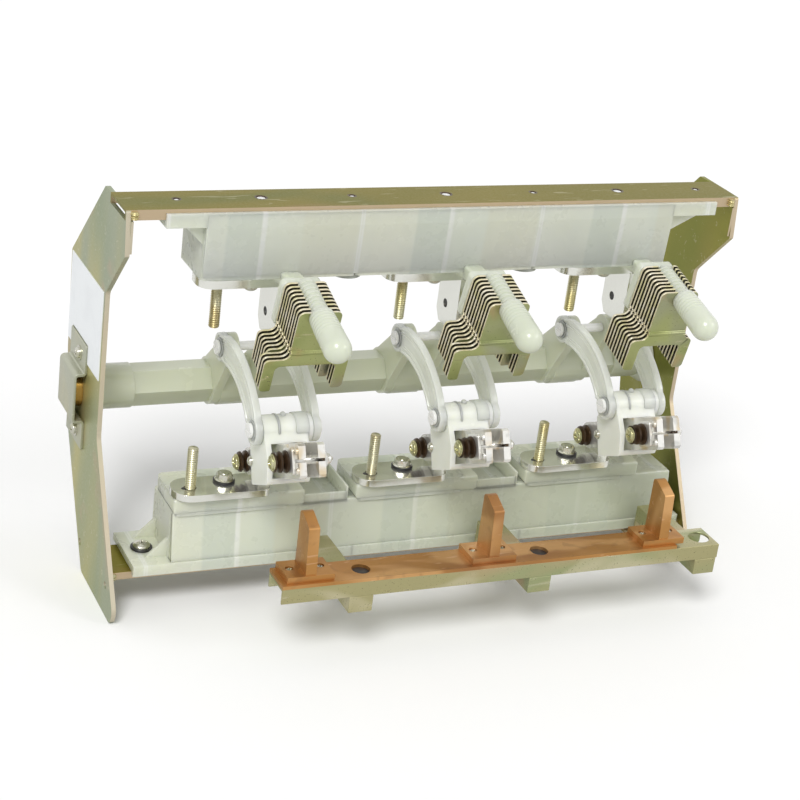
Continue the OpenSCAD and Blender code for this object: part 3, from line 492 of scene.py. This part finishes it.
def softRings(thick, edge, start=0.0):
    # a quarter round of radius edge at both faces: depth = edge * (1 - cos t), inset = edge * (1 - sin t)
    low = [(edge * (1 - cos(t)), edge * (1 - sin(t))) for t in np.linspace(0, pi / 2, 4)]
    return [(start + d, i) for d, i in low] + [(start + thick - d, i) for d, i in low[::-1]]


def barAlong(shell, outline, start, end, edge):
    # a profile in (Y, Z) carried along X from start to end, with its end edges rounded
    rings = softRings(end - start, edge, start)
    slab(shell, roundCorners(outline, 4), rings, lambda u, v, d: np.stack((d, u, v), -1))


def showPiece(name, mesh, finishName, body, stands, smooth):
    mesh.polygons.foreach_set("use_smooth", np.ones(len(mesh.polygons), bool))
    mesh.set_sharp_from_angle(angle=radians(smooth))
    mesh.materials.append(paint[finishName])
    obj = bpy.data.objects.new(name, mesh)
    bpy.context.collection.objects.link(obj)
    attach(obj, body)
    if stands:
        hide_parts(*stands)
    return obj


def meshPiece(name, shell, finishName, stands=(), smooth=38.0, body="frame"):
    # joins the shell's grids, merges seams and poles, and turns the faces out
    mesh = bpy.data.meshes.new(name)
    mesh.from_pydata((np.concatenate(shell["verts"]) * mm).tolist(), [], shell["faces"])
    work = bmesh.new()
    work.from_mesh(mesh)
    bmesh.ops.remove_doubles(work, verts=work.verts, dist=1e-6)
    bmesh.ops.dissolve_degenerate(work, edges=work.edges, dist=1e-7)
    bmesh.ops.recalc_face_normals(work, faces=work.faces)
    work.to_mesh(mesh)
    work.free()
    return showPiece(name, mesh, finishName, body, stands, smooth)


def readRows(items, key):
    # one row of three numbers for each item of a mesh
    out = np.empty(len(items) * 3)
    items.foreach_get(key, out)
    return out.reshape(-1, 3)


def inBlade(phase, turned=26.0):
    # blade frame to space: x stays, (y, z) turns by -turned about the pivot
    base = place["blade_turn_" + phase]
    c, s = cos(radians(turned)), sin(radians(turned))
    return lambda x, y, z: np.stack((base[0] + x, base[1] + y * c + z * s, base[2] - y * s + z * c), -1)


def trio(stem):
    return [stem + phase for phase in phases]


def lowPin():
    # the lower link pin stands off the pivot as the crank pin stands off the shaft
    return place["blade_turn_a"][1:] + place["link_turn_a"][1:] - place["shaft_turn"][1:]


sidePlate = toMm(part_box("right_side_plate"))
chute = dict(
    y=-103, z=327.5, plates=9, pitch=5.9, thick=2.6,
    neckHalf=23, neckTop=52, shoulder=-6, slotTop=-14, legEnd=-46,
    legWidth=12.5, left=49, right=41.5, cut=7.5,
    rodHeight=47.4, rodFlat=8, rodHalf=9, rodGap=0.4,
    noseLength=50, noseRadius=14.5, ridge=0.32, ridgePitch=4.4,
    backThick=9, armLeft=-4, armRight=17,
    foldTop=4.2, foldRun=1.6, fold=2.4, groove=1.3,
    a=dict(tilt=17, wide=3, side=0, rise=0),
    b=dict(tilt=17, wide=3, side=0, rise=0),
    c=dict(tilt=15, wide=0, side=-5.5, rise=4),
)


def leanOf(phase):
    tilt = radians(chute[phase]["tilt"])
    return cos(tilt), sin(tilt)


def inChute(phase):
    # chute frame to space: a across, b up the neck, depth to the plates behind
    c, s = leanOf(phase)
    x0, y0, z0 = phaseX[phase], chute["y"], chute["z"]
    return lambda a, b, d: np.stack((x0 + a, y0 + d * c - b * s, z0 + d * s + b * c), -1)


def plateOutline(cut, side, rise):
    # outline of a splitter plate with its notch for the finger, counter-clockwise from the notch
    g = chute
    left, right, leg = side - g["left"] + cut, side + g["right"] - cut, g["legWidth"]
    notch, floor = g["rodHalf"] + g["rodGap"], g["rodHeight"] - g["rodFlat"]
    top, neck, shoulder = g["neckTop"] + rise, g["neckHalf"], g["shoulder"]
    low, slot = g["legEnd"], g["slotTop"]
    return roundCorners([
        (-notch, floor, 0), (-notch, top, 0.8), (side - neck, top, 6), (side - neck, shoulder, 8),
        (left, shoulder, 5), (left, low, 5), (left + leg, low, 2), (left + leg, slot, 6),
        (right - leg, slot, 6), (right - leg, low, 2), (right, low, 5), (right, shoulder, 5),
        (side + neck, shoulder, 8), (side + neck, top, 6), (notch, top, 0.8), (notch, floor, 0)], 6)


def bendPlates(mesh, phase):
    # depth -= fold * smooth step over foldRun below foldTop, and += groove * (1 - height^2) near height 0
    g = chute
    c, s = leanOf(phase)
    work = bmesh.new()
    work.from_mesh(mesh)
    for h in (*(g["foldTop"] - g["foldRun"] * np.linspace(0, 1, 5)), 1, 0.5, 0, -0.5, -1):
        cut = work.verts[:] + work.edges[:] + work.faces[:]
        spot = np.array((0, g["y"] - h * s, g["z"] + h * c)) * mm
        bmesh.ops.bisect_plane(work, geom=cut, plane_co=spot, plane_no=(0, -s, c), dist=1e-6)
    work.to_mesh(mesh)
    work.free()
    co = readRows(mesh.vertices, "co") / mm
    height = -(co[:, 1] - g["y"]) * s + (co[:, 2] - g["z"]) * c
    t = np.clip((g["foldTop"] - height) / g["foldRun"], 0, 1)
    push = g["groove"] * np.clip(1 - height ** 2, 0, 1) - g["fold"] * t * t * (3 - 2 * t)
    co += push[:, None] * np.array((0, c, s))
    mesh.vertices.foreach_set("co", (co * mm).ravel())
    mesh.update()
    mesh.set_sharp_from_angle(angle=radians(30))
    # finish by face: 0 the front of the first plates, 2 the faces in the gaps, near black as painted shade, 1 the
    # cut edges, paler bare metal with a painted highlight
    lean = readRows(mesh.polygons, "normal") @ (0, c, s)
    depth = (readRows(mesh.polygons, "center") / mm - (0, g["y"], g["z"])) @ (0, c, s)
    kind = np.where(np.abs(lean) > 0.8, 2, 1)
    kind[(lean < -0.3) & (depth < g["thick"] / 3)] = 0
    kind[(lean < -0.8) & (np.abs(depth + g["fold"] - g[phase]["wide"] * g["pitch"]) < g["thick"] / 2)] = 0
    kind[(lean > 0.8) & (depth > (g["plates"] - 1) * g["pitch"] - g["fold"] + g["thick"] * 0.7)] = 0
    mesh.polygons.foreach_set("material_index", kind.astype(np.int32))


def makeChutes():
    g = chute
    for phase in phases:
        shell, own = newShell(), g[phase]
        for k in range(g["plates"]):
            outline = plateOutline(0 if k < own["wide"] else g["cut"], own["side"], own["rise"])
            slab(shell, outline, softRings(g["thick"], 0.45, k * g["pitch"]), inChute(phase))
        stands = ("arc_plates_" + phase,)
        piece = meshPiece("splitterPlates_" + phase, shell, "chutePlate", stands)
        piece.data.materials.append(paint["plateEdgeAndHighlight"])
        piece.data.materials.append(paint["plateGapShade"])
        bendPlates(piece.data, phase)


def makeFingers():
    # round nose, ridged cone, comb bar between the plates, back plate and arm of each finger
    g = chute
    shell = newShell()
    depth = (g["plates"] - 1) * g["pitch"] + g["thick"]
    wallBox = toMm(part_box("top_insulator_a"))
    wall, topZ = wallBox[0][1] + 4, wallBox[0][2]
    for phase, x0 in phaseX.items():
        own, space = g[phase], inChute(phase)
        t = np.linspace(0, pi / 2, 12)
        tip = np.column_stack((-g["noseLength"] - g["noseRadius"] * np.cos(t), g["noseRadius"] * np.sin(t)))
        run = np.linspace(-g["noseLength"], -0.6, 60)[1:]
        fade = np.clip((run + 34) / 6, 0, 1) * np.clip(-run / 5, 0, 1)
        ridge = fade * g["ridge"] * np.sin(run / g["ridgePitch"] * 2 * pi)
        radius = g["noseRadius"] - 1.5 * (run + g["noseLength"]) / g["noseLength"] + ridge
        profile = np.vstack((tip, np.column_stack((run, radius)), [(-0.1, 12.2), (0, 11.4), (0, 0)]))
        lathe(shell, profile, space(0, g["rodHeight"], 0), space(0, 0, 1.0) - space(0, 0, 0), 40)
        # comb bar: a round bar with a flat foot, a little wider between the plates
        teeth = np.linspace(0, depth, 9 * 12)
        part = teeth % g["pitch"]
        inGap = (part > g["thick"] + 0.5) & (part < g["pitch"] - 0.5)
        r = g["rodHalf"] + np.where(inGap, 1.3, 0)[:, None] + 0 * circle(36)
        x, z = r * np.cos(circle(36)), np.maximum(r * np.sin(circle(36)), -g["rodFlat"])
        addGrid(shell, space(x, g["rodHeight"] + z, teeth[:, None] + 0 * x), caps=True)
        left, right = own["side"] - g["neckHalf"] - 2, own["side"] + g["neckHalf"] - 5
        back = rectangle(left, right, -2, g["neckTop"] + own["rise"] - 1, 3, 5)
        slab(shell, roundCorners(back), softRings(g["backThick"], 1.2, depth), space)
        armY = g["y"] + depth - 5.5
        slab(shell, roundCorners(rectangle(g["armLeft"], g["armRight"], topZ - 9, topZ + 7.5, 3)),
             softRings(wall - armY, 0.8, armY), lambda u, v, d, x0=x0: np.stack((x0 + u, d, v), -1))
    meshPiece("chuteFingers", shell, "chuteNylon", ("arc_holders",))


makeChutes()
makeFingers()
print("stage: arc chutes")

studs = dict(
    radius=6, pitch=2.5, depth=1.25, chamfer=1.1, perTurn=8,
    topX=-65.5, topY=8, topLength=49, topFace=362.5, topIn=8.9,
    lowX=-82, lowY=-8, lowLength=47, lowFace=135.5, lowIn=7.9,
)
bolts = dict(
    topX=-29, topY=8, lowX=-41.5, lowY=0,
    flat=8.5, height=7.5, washer=(2.5, 12, 0.4),
)


def screw(head, under, base, axis, washer, size, around=(36, 40), cross=True):
    # a washer of (thickness, radius, edge) and on it a round head of (radius, height)
    lathe(under, disc(*washer), base, axis, around[0])
    panHead(head, np.array(base) + np.array(axis) * washer[0], axis, *size, around[1], cross)


def makeStuds():
    shell, s = newShell(), studs
    for x in phaseX.values():
        low, high = s["lowFace"] - s["lowIn"], s["topFace"] + s["topIn"]
        thread(shell, (x + s["lowX"], s["lowY"], low), (0, 0, 1), s["lowLength"] + s["lowIn"], s)
        thread(shell, (x + s["topX"], s["topY"], high), (0, 0, -1), s["topLength"] + s["topIn"], s)
    meshPiece("threadedStuds", shell, "goldZinc", ("terminal_studs",), 50)


def makeTerminalBolts():
    # low: spring washer, flange, then a hexagon cut by a chamfer cone and ended by a boss; top: a round head
    metal, dark, b = newShell(), newShell(), bolts
    thick, size = b["washer"][0], b["flat"]
    top = thick + b["height"]
    flange = [(thick, 0), (thick, size * 1.2), (thick + 0.6, size * 1.26), (thick + 1.6, size * 1.1),
              (thick + 1.6, 0)]
    hexagon = [(thick + 1.2, 0), (thick + 1.2, size * 1.2), (top - 1.6, size * 1.2), (top, size * 0.92),
               (top, size * 0.62), (top + 0.6, size * 0.56), (top + 0.6, 0)]
    for x in phaseX.values():
        base = (x + b["lowX"], b["lowY"], studs["lowFace"])
        lathe(dark, disc(*b["washer"]), base, (0, 0, 1))
        lathe(metal, flange, base, (0, 0, 1))
        lathe(metal, hexagon, base, (0, 0, 1), 36, hexSection(size * 0.94))
        screw(metal, metal, (x + b["topX"], b["topY"], studs["topFace"]), (0, 0, -1), (3, 9, 0.4), (8, 7))
    meshPiece("terminalScrews", metal, "screwSteel", ("terminal_bolts",))
    meshPiece("terminalWashers", dark, "darkWasherAndHoleShade")


def makeFrameScrews():
    metal, dark, rivets = newShell(), newShell(), newShell()
    low, high = toMm(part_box("frame_bolts"))
    screw(metal, dark, (low[0] + 12, 14, low[2]), (0, 0, 1), (2.5, 12, 0.4), (9.5, 5), (40, 40))
    screw(metal, dark, (high[0] - 7, 14, low[2]), (0, 0, 1), (2.5, 7), (5.5, 5), (32, 40))
    # screws that hold the bearing brackets, one in each foot, and the rivets of the earthing contacts
    for side, node in ((-1, "left_bearing_bracket"), (1, "right_bearing_bracket")):
        foot = toMm(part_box(node))
        face = side * (sidePlate[1][0] + 3)
        for z in (foot[0][2] + 16, foot[1][2] - 16):
            spot = (face, place["shaft_turn"][1] - 8, z)
            screw(metal, metal, spot, (side, 0, 0), (1.4, 8.2), (6, 4.6), (32, 40))
    meshPiece("frameScrews", metal, "screwSteel", ("frame_bolts",))
    meshPiece("frameWashers", dark, "darkWasherAndHoleShade")
    low, high = toMm(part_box("earth_contacts"))
    for x in phaseX.values():
        for dx in (-17, 17):
            panHead(rivets, (x + dx, high[1] - 16, low[2] + 3.2), (0, 0, 1), 4.1, 3.4, 28)
    meshPiece("contactScrews", rivets, "screwSteel")


makeStuds()
makeTerminalBolts()
makeFrameScrews()
print("stage: studs and screws")

spring = dict(
    out=14.5, pitch=3.3, boltRadius=4.5, discRadius=12, discThick=1.1, cone=0.95,
    plate=3, nutFlat=8, tipAt=130, nearRim=11.5, farRim=14.8,
)


def discSpring(shell, base, axis, outer, flip):
    # closed ring section: a flat strip from the bolt to the rim, leaning by cone one way or the other
    t, lean = spring["discThick"], spring["cone"] * (1 if flip else -1)
    inner = spring["boltRadius"] + 0.3
    a, b = spring["pitch"] / 2 - lean, spring["pitch"] / 2 + lean
    ring = [(a - t / 2, inner), (b - t / 2, outer - 0.5), (b - t / 6, outer), (b + t / 6, outer),
            (b + t / 2, outer - 0.5), (a + t / 2, inner)]
    lathe(shell, ring, base, axis, closeU=True)


def springBolt(gold, brown, steel, phase, y, discs, plate):
    # disc springs and a round head on the left; washer, nut and bolt end on the right
    g = spring
    left, right = np.array((-1.0, 0, 0)), np.array((1.0, 0, 0))
    base, far = inBlade(phase)(-g["out"] - plate, y, 0.0), inBlade(phase)(g["out"], y, 0.0)
    for k in range(discs):
        discSpring(brown, base + left * k * g["pitch"], left, g["discRadius"] - 0.35 * k, k % 2 == 0)
    stack = discs * g["pitch"]
    head = [(0, 0), (0, 8.6), (0.5, 9), (1.4, 9), (1.8, 8.4), (1.8, 0)]
    lathe(gold, head, base + left * (stack - 0.4), left)
    panHead(gold, base + left * (stack + 1.2), left, 7.4, 3.2)
    lathe(steel, disc(stack + 2 * g["out"] + plate, g["boltRadius"]), base + left * stack, right, 24)
    lathe(brown, disc(3, g["farRim"] if plate else g["nearRim"], 0.4), far, right)
    nut = g["nutFlat"]
    sides = [(3, 0), (3, nut * 1.1), (3.5, nut * 1.2), (8.4, nut * 1.2), (10, nut * 0.9), (10, 0)]
    lathe(steel, sides, far, right, 36, hexSection(nut))
    lathe(steel, [(10, 0), (10, 6.2), (13.2, 5.4), (16.8, 1.4), (17, 0)], far, right, 24)


def makeSprings():
    for phase in phases:
        gold, brown, steel = newShell(), newShell(), newShell()
        space, out = inBlade(phase), spring["out"]
        springBolt(gold, brown, steel, phase, 0.0, 4, 0.0)
        springBolt(gold, brown, steel, phase, -spring["tipAt"], 5, spring["plate"])
        rings = softRings(spring["plate"], 0.6, -out - spring["plate"])
        slab(steel, roundCorners(rectangle(-143, -117, -14, 14, 4)), rings,
             lambda y, z, d, space=space: space(d, y, z))
        for z in (-10, 10):
            panHead(steel, space(-out, -148.5, z), (-1, 0, 0), 3.6, 2.4, 24, False)
        body, stands = "blade_" + phase, ("contact_springs_" + phase,)
        meshPiece("springDiscs_" + phase, brown, "discSpring", stands, 30, body)
        meshPiece("springHeads_" + phase, gold, "springHead", body=body)
        meshPiece("springNuts_" + phase, steel, "polished", (), 30, body)


makeSprings()
print("stage: contact springs")

arm = dict(
    inner=28.1, thick=8, width=30, rise=20, eye=16,
    rim=3.2, dip=1.3, ridge=0.6, ridgesAt=(9.2, 6.6), boss=10.5,
)


def armOutline(chord):
    # strip of even width along a circle arc between the pins, closed by round eyes a little wider than it
    rise, half, eye = arm["rise"], arm["width"] / 2, arm["eye"]
    radius = (chord * chord / 4 + rise * rise) / (2 * rise)
    spread = asin(chord / 2 / radius)
    trim = 0.8 * eye / radius
    a = np.linspace(spread - trim, -spread + trim, 28)
    centre = np.array((0.0, rise - radius))
    ray = np.column_stack((np.sin(a), np.cos(a)))
    tangent = degrees(spread)

    def eyeArc(x, start, end):
        t = np.radians(np.linspace(start, end, 18))
        return np.column_stack((x + eye * np.cos(t), eye * np.sin(t)))
    left = eyeArc(-chord / 2, 90 + tangent - 34, 270 + tangent + 34)
    right = eyeArc(chord / 2, -90 - tangent - 34, 90 - tangent + 34)
    # the outer edge runs from the back eye to the front one, then the inner edge runs back
    return np.vstack((right, centre + ray * (radius + half), left, centre + ray[::-1] * (radius - half)))


def makeArms():
    # each arm: a sunk face with two ridges inside a raised rim, the same on both sides, and two round bosses
    pin, low = place["link_turn_a"][1:], lowPin()
    along, middle = unit(pin - low), (pin + low) / 2
    t, rim, dip = arm["thick"], arm["rim"], arm["dip"]
    face = [(dip, 10.6)]
    for at in arm["ridgesAt"]:
        face += [(dip, at + 0.7), (dip - arm["ridge"], at), (dip, at - 0.7)]
    face += [(dip, rim + 0.5), (0.15, rim), (0, rim - 0.5), (0, 0.9), (0.25, 0.25), (0.9, 0)]
    rings = face + [(t - d, i) for d, i in face[::-1]]
    for phase, x in phaseX.items():
        shell = newShell()
        for gap in (-arm["inner"] - t, arm["inner"]):
            x0 = x + gap

            def space(u, v, d, x0=x0):
                y = middle[0] + along[0] * u - along[1] * v
                z = middle[1] + along[1] * u + along[0] * v
                return np.stack((x0 + d, y, z), -1)
            slab(shell, armOutline(float(np.linalg.norm(pin - low))), rings, space)
            for y, z in (pin, low):
                lathe(shell, disc(t, arm["boss"]), (x0, y, z), (1, 0, 0))
        meshPiece("linkArms_" + phase, shell, "nylon", ("link_" + phase,), 40, "link_" + phase)


makeArms()
print("stage: link arms")

moulding = dict(
    seatLeft=-102, seatRight=46, seatFront=-20.3, seatBack=39, seatDrop=17,
    wall=2.6, pocketRight=96, pocketLow=6, pocketFront=-17.5, flange=8, lowEnd=94,
)
holes = dict(
    beamX=(-295.5, -205, -104, 5, 110, 216, 318), beamRadius=(3.5, 5.5), beamY=20.9,
    stripX=(-121.5, 88.5), stripRadius=9.8, finY=18.0, finZ=324.5, finRadius=4.9,
)
bracket = dict(out=14, sheet=3, bend=5, foot=32, half=29, depth=60)
bead = dict(radius=4.6, ripple=0.6, step=2.6, steps=90)


def makeMouldings():
    # seat caps, pocket walls and sloped fronts of the lower mouldings; sloped front of the upper ones
    m = moulding
    shell = newShell()
    barBottom = toMm(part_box("bottom_terminals"))[0][2]
    flangeTop = toMm(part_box("bottom_insulator_a"))[0][2] + 4 + m["flange"]
    stepTop, top, ahead = barBottom - 19, barBottom - 1.5, m["pocketFront"]
    for phase, x in phaseX.items():
        seat = rectangle(m["seatFront"], m["seatBack"], barBottom - m["seatDrop"], barBottom - 0.1, 1.5, 3)
        barAlong(shell, seat, x + m["seatLeft"] - 0.3, x + m["seatRight"] + 0.3, 2.4)
        if phase == "c":
            continue
        right = x + m["pocketRight"]
        barAlong(shell, rectangle(ahead, 41, stepTop - 2, top, 1), right, right + m["wall"], 0.9)
        for y, high in ((ahead, top - m["pocketLow"]), (38.4, top - 1)):
            wall = rectangle(y, y + m["wall"], stepTop - 2, high, 1)
            barAlong(shell, wall, x + m["seatRight"] - 1, right + 1, 0.5)
    front = [(-11, flangeTop - 1, 0.5), (-23.4, flangeTop - 1, 0.5), (ahead, stepTop + 2, 1.5),
             (-11, stepTop + 2, 0.5)]
    barAlong(shell, front, phaseX["a"] + m["seatLeft"] + 0.1, phaseX["c"] + m["lowEnd"], 1.6)
    upper = toMm(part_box("top_insulator_a"))
    lip, low, high = upper[0][1], upper[0][2], upper[1][2]
    wedge = [(lip - 0.1, high - 2, 0), (lip + 5, high - 2, 0), (lip + 5, low + 3, 0), (lip + 3.8, low + 3, 0),
             (lip - 0.1, high - 16, 2)]
    barAlong(shell, wedge, upper[0][0] + 42.5, toMm(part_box("top_insulator_c"))[1][0] - 54.5, 0.8)
    meshPiece("mouldingFronts", shell, "resin", (), 40)


def makeHoleDetails():
    # dark lips lining the beam holes and moulded bosses in them, dark discs in the strip, fin and bar holes; the
    # dark lips and discs are painted shade
    g, up = holes, (0, 0, 1)
    lipShade, bosses, dark = newShell(), newShell(), newShell()
    for k, x in enumerate(g["beamX"]):
        r = g["beamRadius"][k % 2]
        spot = (x, g["beamY"], toMm(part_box("top_beam"))[1][2])
        # painted shade: a dark ring lines the hole's wall and rim
        ring = [(0.03, r + 1.5), (0.04, r + 0.3), (-0.5, r - 0.6), (-2.2, r - 0.8), (-2.2, r - 0.1),
                (-0.02, r - 0.1), (0.01, r + 1.5)]
        lathe(lipShade, ring, spot, up, 28, closeU=True)
        dome = [(-2.2, 0), (-2.2, r - 1), (-0.9, r - 1), (-0.6, r - 1.6), (-0.4, 0)]
        lathe(bosses, dome, spot, up, 28)
    strip, r = toMm(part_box("earth_strip")), g["stripRadius"]
    for x in g["stripX"]:
        spot = (x, (strip[0][1] + strip[1][1]) / 2, strip[0][2] + 0.05)
        # painted shade: a dark disc at the bottom of each strip hole
        lathe(dark, [(0, 0), (0, r), (0.4, r), (0.5, 8), (0.5, 0)], spot, up)
    for x in phaseX.values():
        # painted shade: a dark plug in each fin hole and a dark disc on the terminal bar beside the low stud
        lathe(dark, disc(10, g["finRadius"]), (x - 5, g["finY"], g["finZ"]), (1, 0, 0), 28)
        spot = (x + studs["lowX"] - 7.4, studs["lowY"] - 1.5, studs["lowFace"] - 0.3)
        lathe(dark, [(0, 0), (0, 3.2), (0.35, 3.0), (0.4, 0)], spot, up, 24)
    meshPiece("holeLipShade", lipShade, "discSpring")
    meshPiece("holeBosses", bosses, "whiteNylon")
    meshPiece("holeShadeDiscs", dark, "darkWasherAndHoleShade")


def makeHolderDetails():
    # two collars and a nub on the holder's sleeve, and a small nut on its left wall
    y, z = lowPin()
    dome = [(16 + 3.2 * sin(t), 3.2 * cos(t)) for t in np.linspace(0, pi / 2, 8)]
    for phase, x in phaseX.items():
        ring, metal = newShell(), newShell()
        for start, width, r in ((-12, 3, 16.4), (8, 15, 16.6)):
            lathe(ring, disc(width, r, 0.8), (x + start, y, z), (1, 0, 0), 44)
        lathe(ring, [(0, 0), (0, 3.2), *dome], (x - 3, y, z), (0, 0, 1), 24)
        screw(metal, metal, (x - 27.4, -37, 176.5), (-1, 0, 0), (0.8, 5.6), (4.6, 3), (28, 28), False)
        meshPiece("holderCollars_" + phase, ring, "nylon", (), 40, "blade_" + phase)
        meshPiece("holderNut_" + phase, metal, "screwSteel", body="blade_" + phase)


def makeBrackets():
    # hat of bent sheet: foot, wall, face, wall, foot, each bend rounded, carried along the depth
    g = bracket
    shaftY, shaftZ = place["shaft_turn"][1:]
    plateX = sidePlate[1][0]
    t, r, h, end, soft = g["sheet"], g["bend"], g["half"], g["half"] + g["foot"], 1.3
    outX, inX = plateX + g["out"], plateX + t
    loop = [(plateX, end, soft), (inX, end, soft), (inX, h, r - t), (outX, h, r), (outX, -h, r),
            (inX, -h, r - t), (inX, -end, soft), (plateX, -end, soft), (plateX, -h + t, r),
            (outX - t, -h + t, r - t), (outX - t, h - t, r - t), (plateX, h - t, r)]
    for side, hand in ((-1, "left"), (1, "right")):
        shell = newShell()
        slab(shell, roundCorners(loop, 5), softRings(g["depth"], 0.35, shaftY - g["depth"] / 2),
             lambda u, v, d, side=side: np.stack((side * u, d, shaftZ + v), -1))
        meshPiece("bearingHat_" + hand, shell, "zincHat", (hand + "_bearing_bracket",))


def weldBead(shell, start, end, lift, seed):
    # tube along a line: radius = r + ripple * (sine of the weld steps + noise), flattened on its two sides
    noise = np.random.default_rng(seed).normal(size=12)
    t = np.linspace(0, 1, bead["steps"])
    start, end = np.array(start), np.array(end)
    wave = np.sin(t * np.linalg.norm(end - start) / bead["step"] * 2 * pi)
    wave = wave + 0.6 * np.interp(t, np.linspace(0, 1, 12), noise)
    radius = (bead["radius"] + bead["ripple"] * wave) * np.sqrt(np.clip(1 - (2 * t - 1) ** 10, 0, 1))
    one, turn = unit(lift), circle(16)[:, None]
    ray = np.cos(turn) * one + 0.8 * np.sin(turn) * np.cross(unit(end - start), one)
    addGrid(shell, (start + (end - start) * t[:, None])[:, None] + radius[:, None, None] * ray)


def makeWelds():
    shell = newShell()
    top, base = toMm(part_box("top_beam")), toMm(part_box("bottom_beam"))
    low, high = base[0][2] + 1, base[1][2] - 1
    for k, side in enumerate((-1, 1)):
        x = side * sidePlate[0][0]
        for at, y, z0, z1, out, seed in ((x - side, top[0][1] - 1, top[0][2] + 1, top[1][2] - 1.5, -1, 3),
                                         (x, base[0][1] - 0.4, low, high, -1, 13),
                                         (x, base[1][1] + 0.4, low, high, 1, 17)):
            weldBead(shell, (at, y, z0), (at, y, z1), (-side, out, 0), seed + k)
    meshPiece("weldBeads", shell, "goldZinc", (), 60)


makeMouldings()
makeHoleDetails()
makeHolderDetails()
makeBrackets()
makeWelds()
print("stage: frame details")

# carried-over nodes: finish, (softened edge in millimetres, nodes)
dress = dict(
    zincPlate=(0.8, "left_side_plate"),
    zincInnerAndShade=(0.8, "right_side_plate"),
    zincChannel=(0.9, "earth_channel", "earth_brackets"),
    zincBeam=(0.8, "top_beam", "bottom_beam"),
    resin=(0.9, *trio("top_insulator_"), *trio("bottom_insulator_")),
    tinned=(0.9, "bottom_terminals"),
    tinBright=(0.9, "top_terminals"),
    polished=(0.5, *trio("blades_")),
    copper=(0.6, "earth_strip", "earth_contacts"),
    shaftResin=(0.9, "main_shaft"),
    holderNylonPaintedLight=(1.2, *trio("blade_holder_")),
    whiteNylon=(0.5, "crank_pins", *trio("link_pin_")),
    bushMetal=(0.5, "bearing_bushes"),
    labelWhite=(0.2, "label_plate"),
    padGrey=(0.8, "joint_pads"),
)


def dressNode(name, finishName, edge):
    # a merged copy of the node, its flat faces joined again and its edges rounded
    mesh = bpy.data.meshes.new(name + "_soft")
    work = bmesh.new()
    work.from_mesh(nodes[name].data)
    bmesh.ops.remove_doubles(work, verts=work.verts, dist=1e-6)
    bmesh.ops.dissolve_limit(work, angle_limit=radians(1.0), verts=work.verts, edges=work.edges)
    work.to_mesh(mesh)
    work.free()
    body = next(b for b, held in frame["record"]["behaviour"]["bodies"].items() if name in held)
    obj = showPiece(name + "_soft", mesh, finishName, body, (name,), 30)
    bevel = obj.modifiers.new("softEdge", "BEVEL")
    bevel.width = edge * mm
    bevel.segments = 2
    bevel.limit_method = "ANGLE"
    bevel.angle_limit = radians(40)
    bevel.harden_normals = True


for finishName, (edge, *names) in dress.items():
    for name in names:
        dressNode(name, finishName, edge)
print("stage: nodes dressed")

light = dict(
    lamps=(("sun", 1.75, (42, 0, -38)), ("fill", 0.45, (58, 0, 50))), softness=22.0, sky=0.54,
    floor=(0.8, 0.8, 0.79), floorSpots=(0.82, 0.82, 0.81), floorSeen=(1.0, 1.0, 1.0),
)


def makeFloor(v):
    # a flat floor, white to the camera and pale in the light that it throws back
    x, y = np.meshgrid((-12, 12), (-12, 12), indexing="ij")
    mesh = bpy.data.meshes.new("floor")
    mesh.from_pydata(np.stack((x, y, 0 * x - 0.0002), -1).reshape(-1, 3).tolist(), [], [[0, 2, 3, 1]])
    made = bpy.data.materials.new("floor")
    made.use_nodes = True
    tree = made.node_tree
    shader = tree.nodes["Principled BSDF"]
    shader.inputs["Roughness"].default_value = 0.9
    shader.inputs["Specular IOR Level"].default_value = 0.1
    tone = mixColour(tree, noiseAt(tree, ownCoords(tree), 3.0, Detail=2.0), v["floor"], v["floorSpots"])
    seenRay = addNode(tree, "ShaderNodeLightPath").outputs["Is Camera Ray"]
    tree.links.new(mixColour(tree, seenRay, tone, v["floorSeen"]), shader.inputs["Base Color"])
    mesh.materials.append(made)
    floor = bpy.data.objects.new("floor", mesh)
    bpy.context.collection.objects.link(floor)


def makeLight(v):
    # a soft sun from the upper left with a weaker one beside it
    for name, power, turn in v["lamps"]:
        data = bpy.data.lights.new(name, "SUN")
        data.energy = power
        data.angle = radians(v["softness"])
        lamp = bpy.data.objects.new(name, data)
        lamp.rotation_euler = [radians(t) for t in turn]
        bpy.context.collection.objects.link(lamp)
    # a plain world: strength sky, and 1 to the camera and in reflections
    world = bpy.data.worlds.new("world")
    bpy.context.scene.world = world
    world.use_nodes = True
    tree = world.node_tree
    back = tree.nodes["Background"].inputs
    path = addNode(tree, "ShaderNodeLightPath").outputs
    seen = sumOf(tree, "MAXIMUM", path["Is Camera Ray"], path["Is Glossy Ray"])
    seen = sumOf(tree, "MAXIMUM", seen, path["Is Transmission Ray"])
    tree.links.new(rangeOf(tree, seen, 0.0, 1.0, v["sky"], 1.0), back["Strength"])
    back["Color"].default_value = (1, 1, 1, 1)


makeFloor(light)
makeLight(light)
print("stage: floor and light")
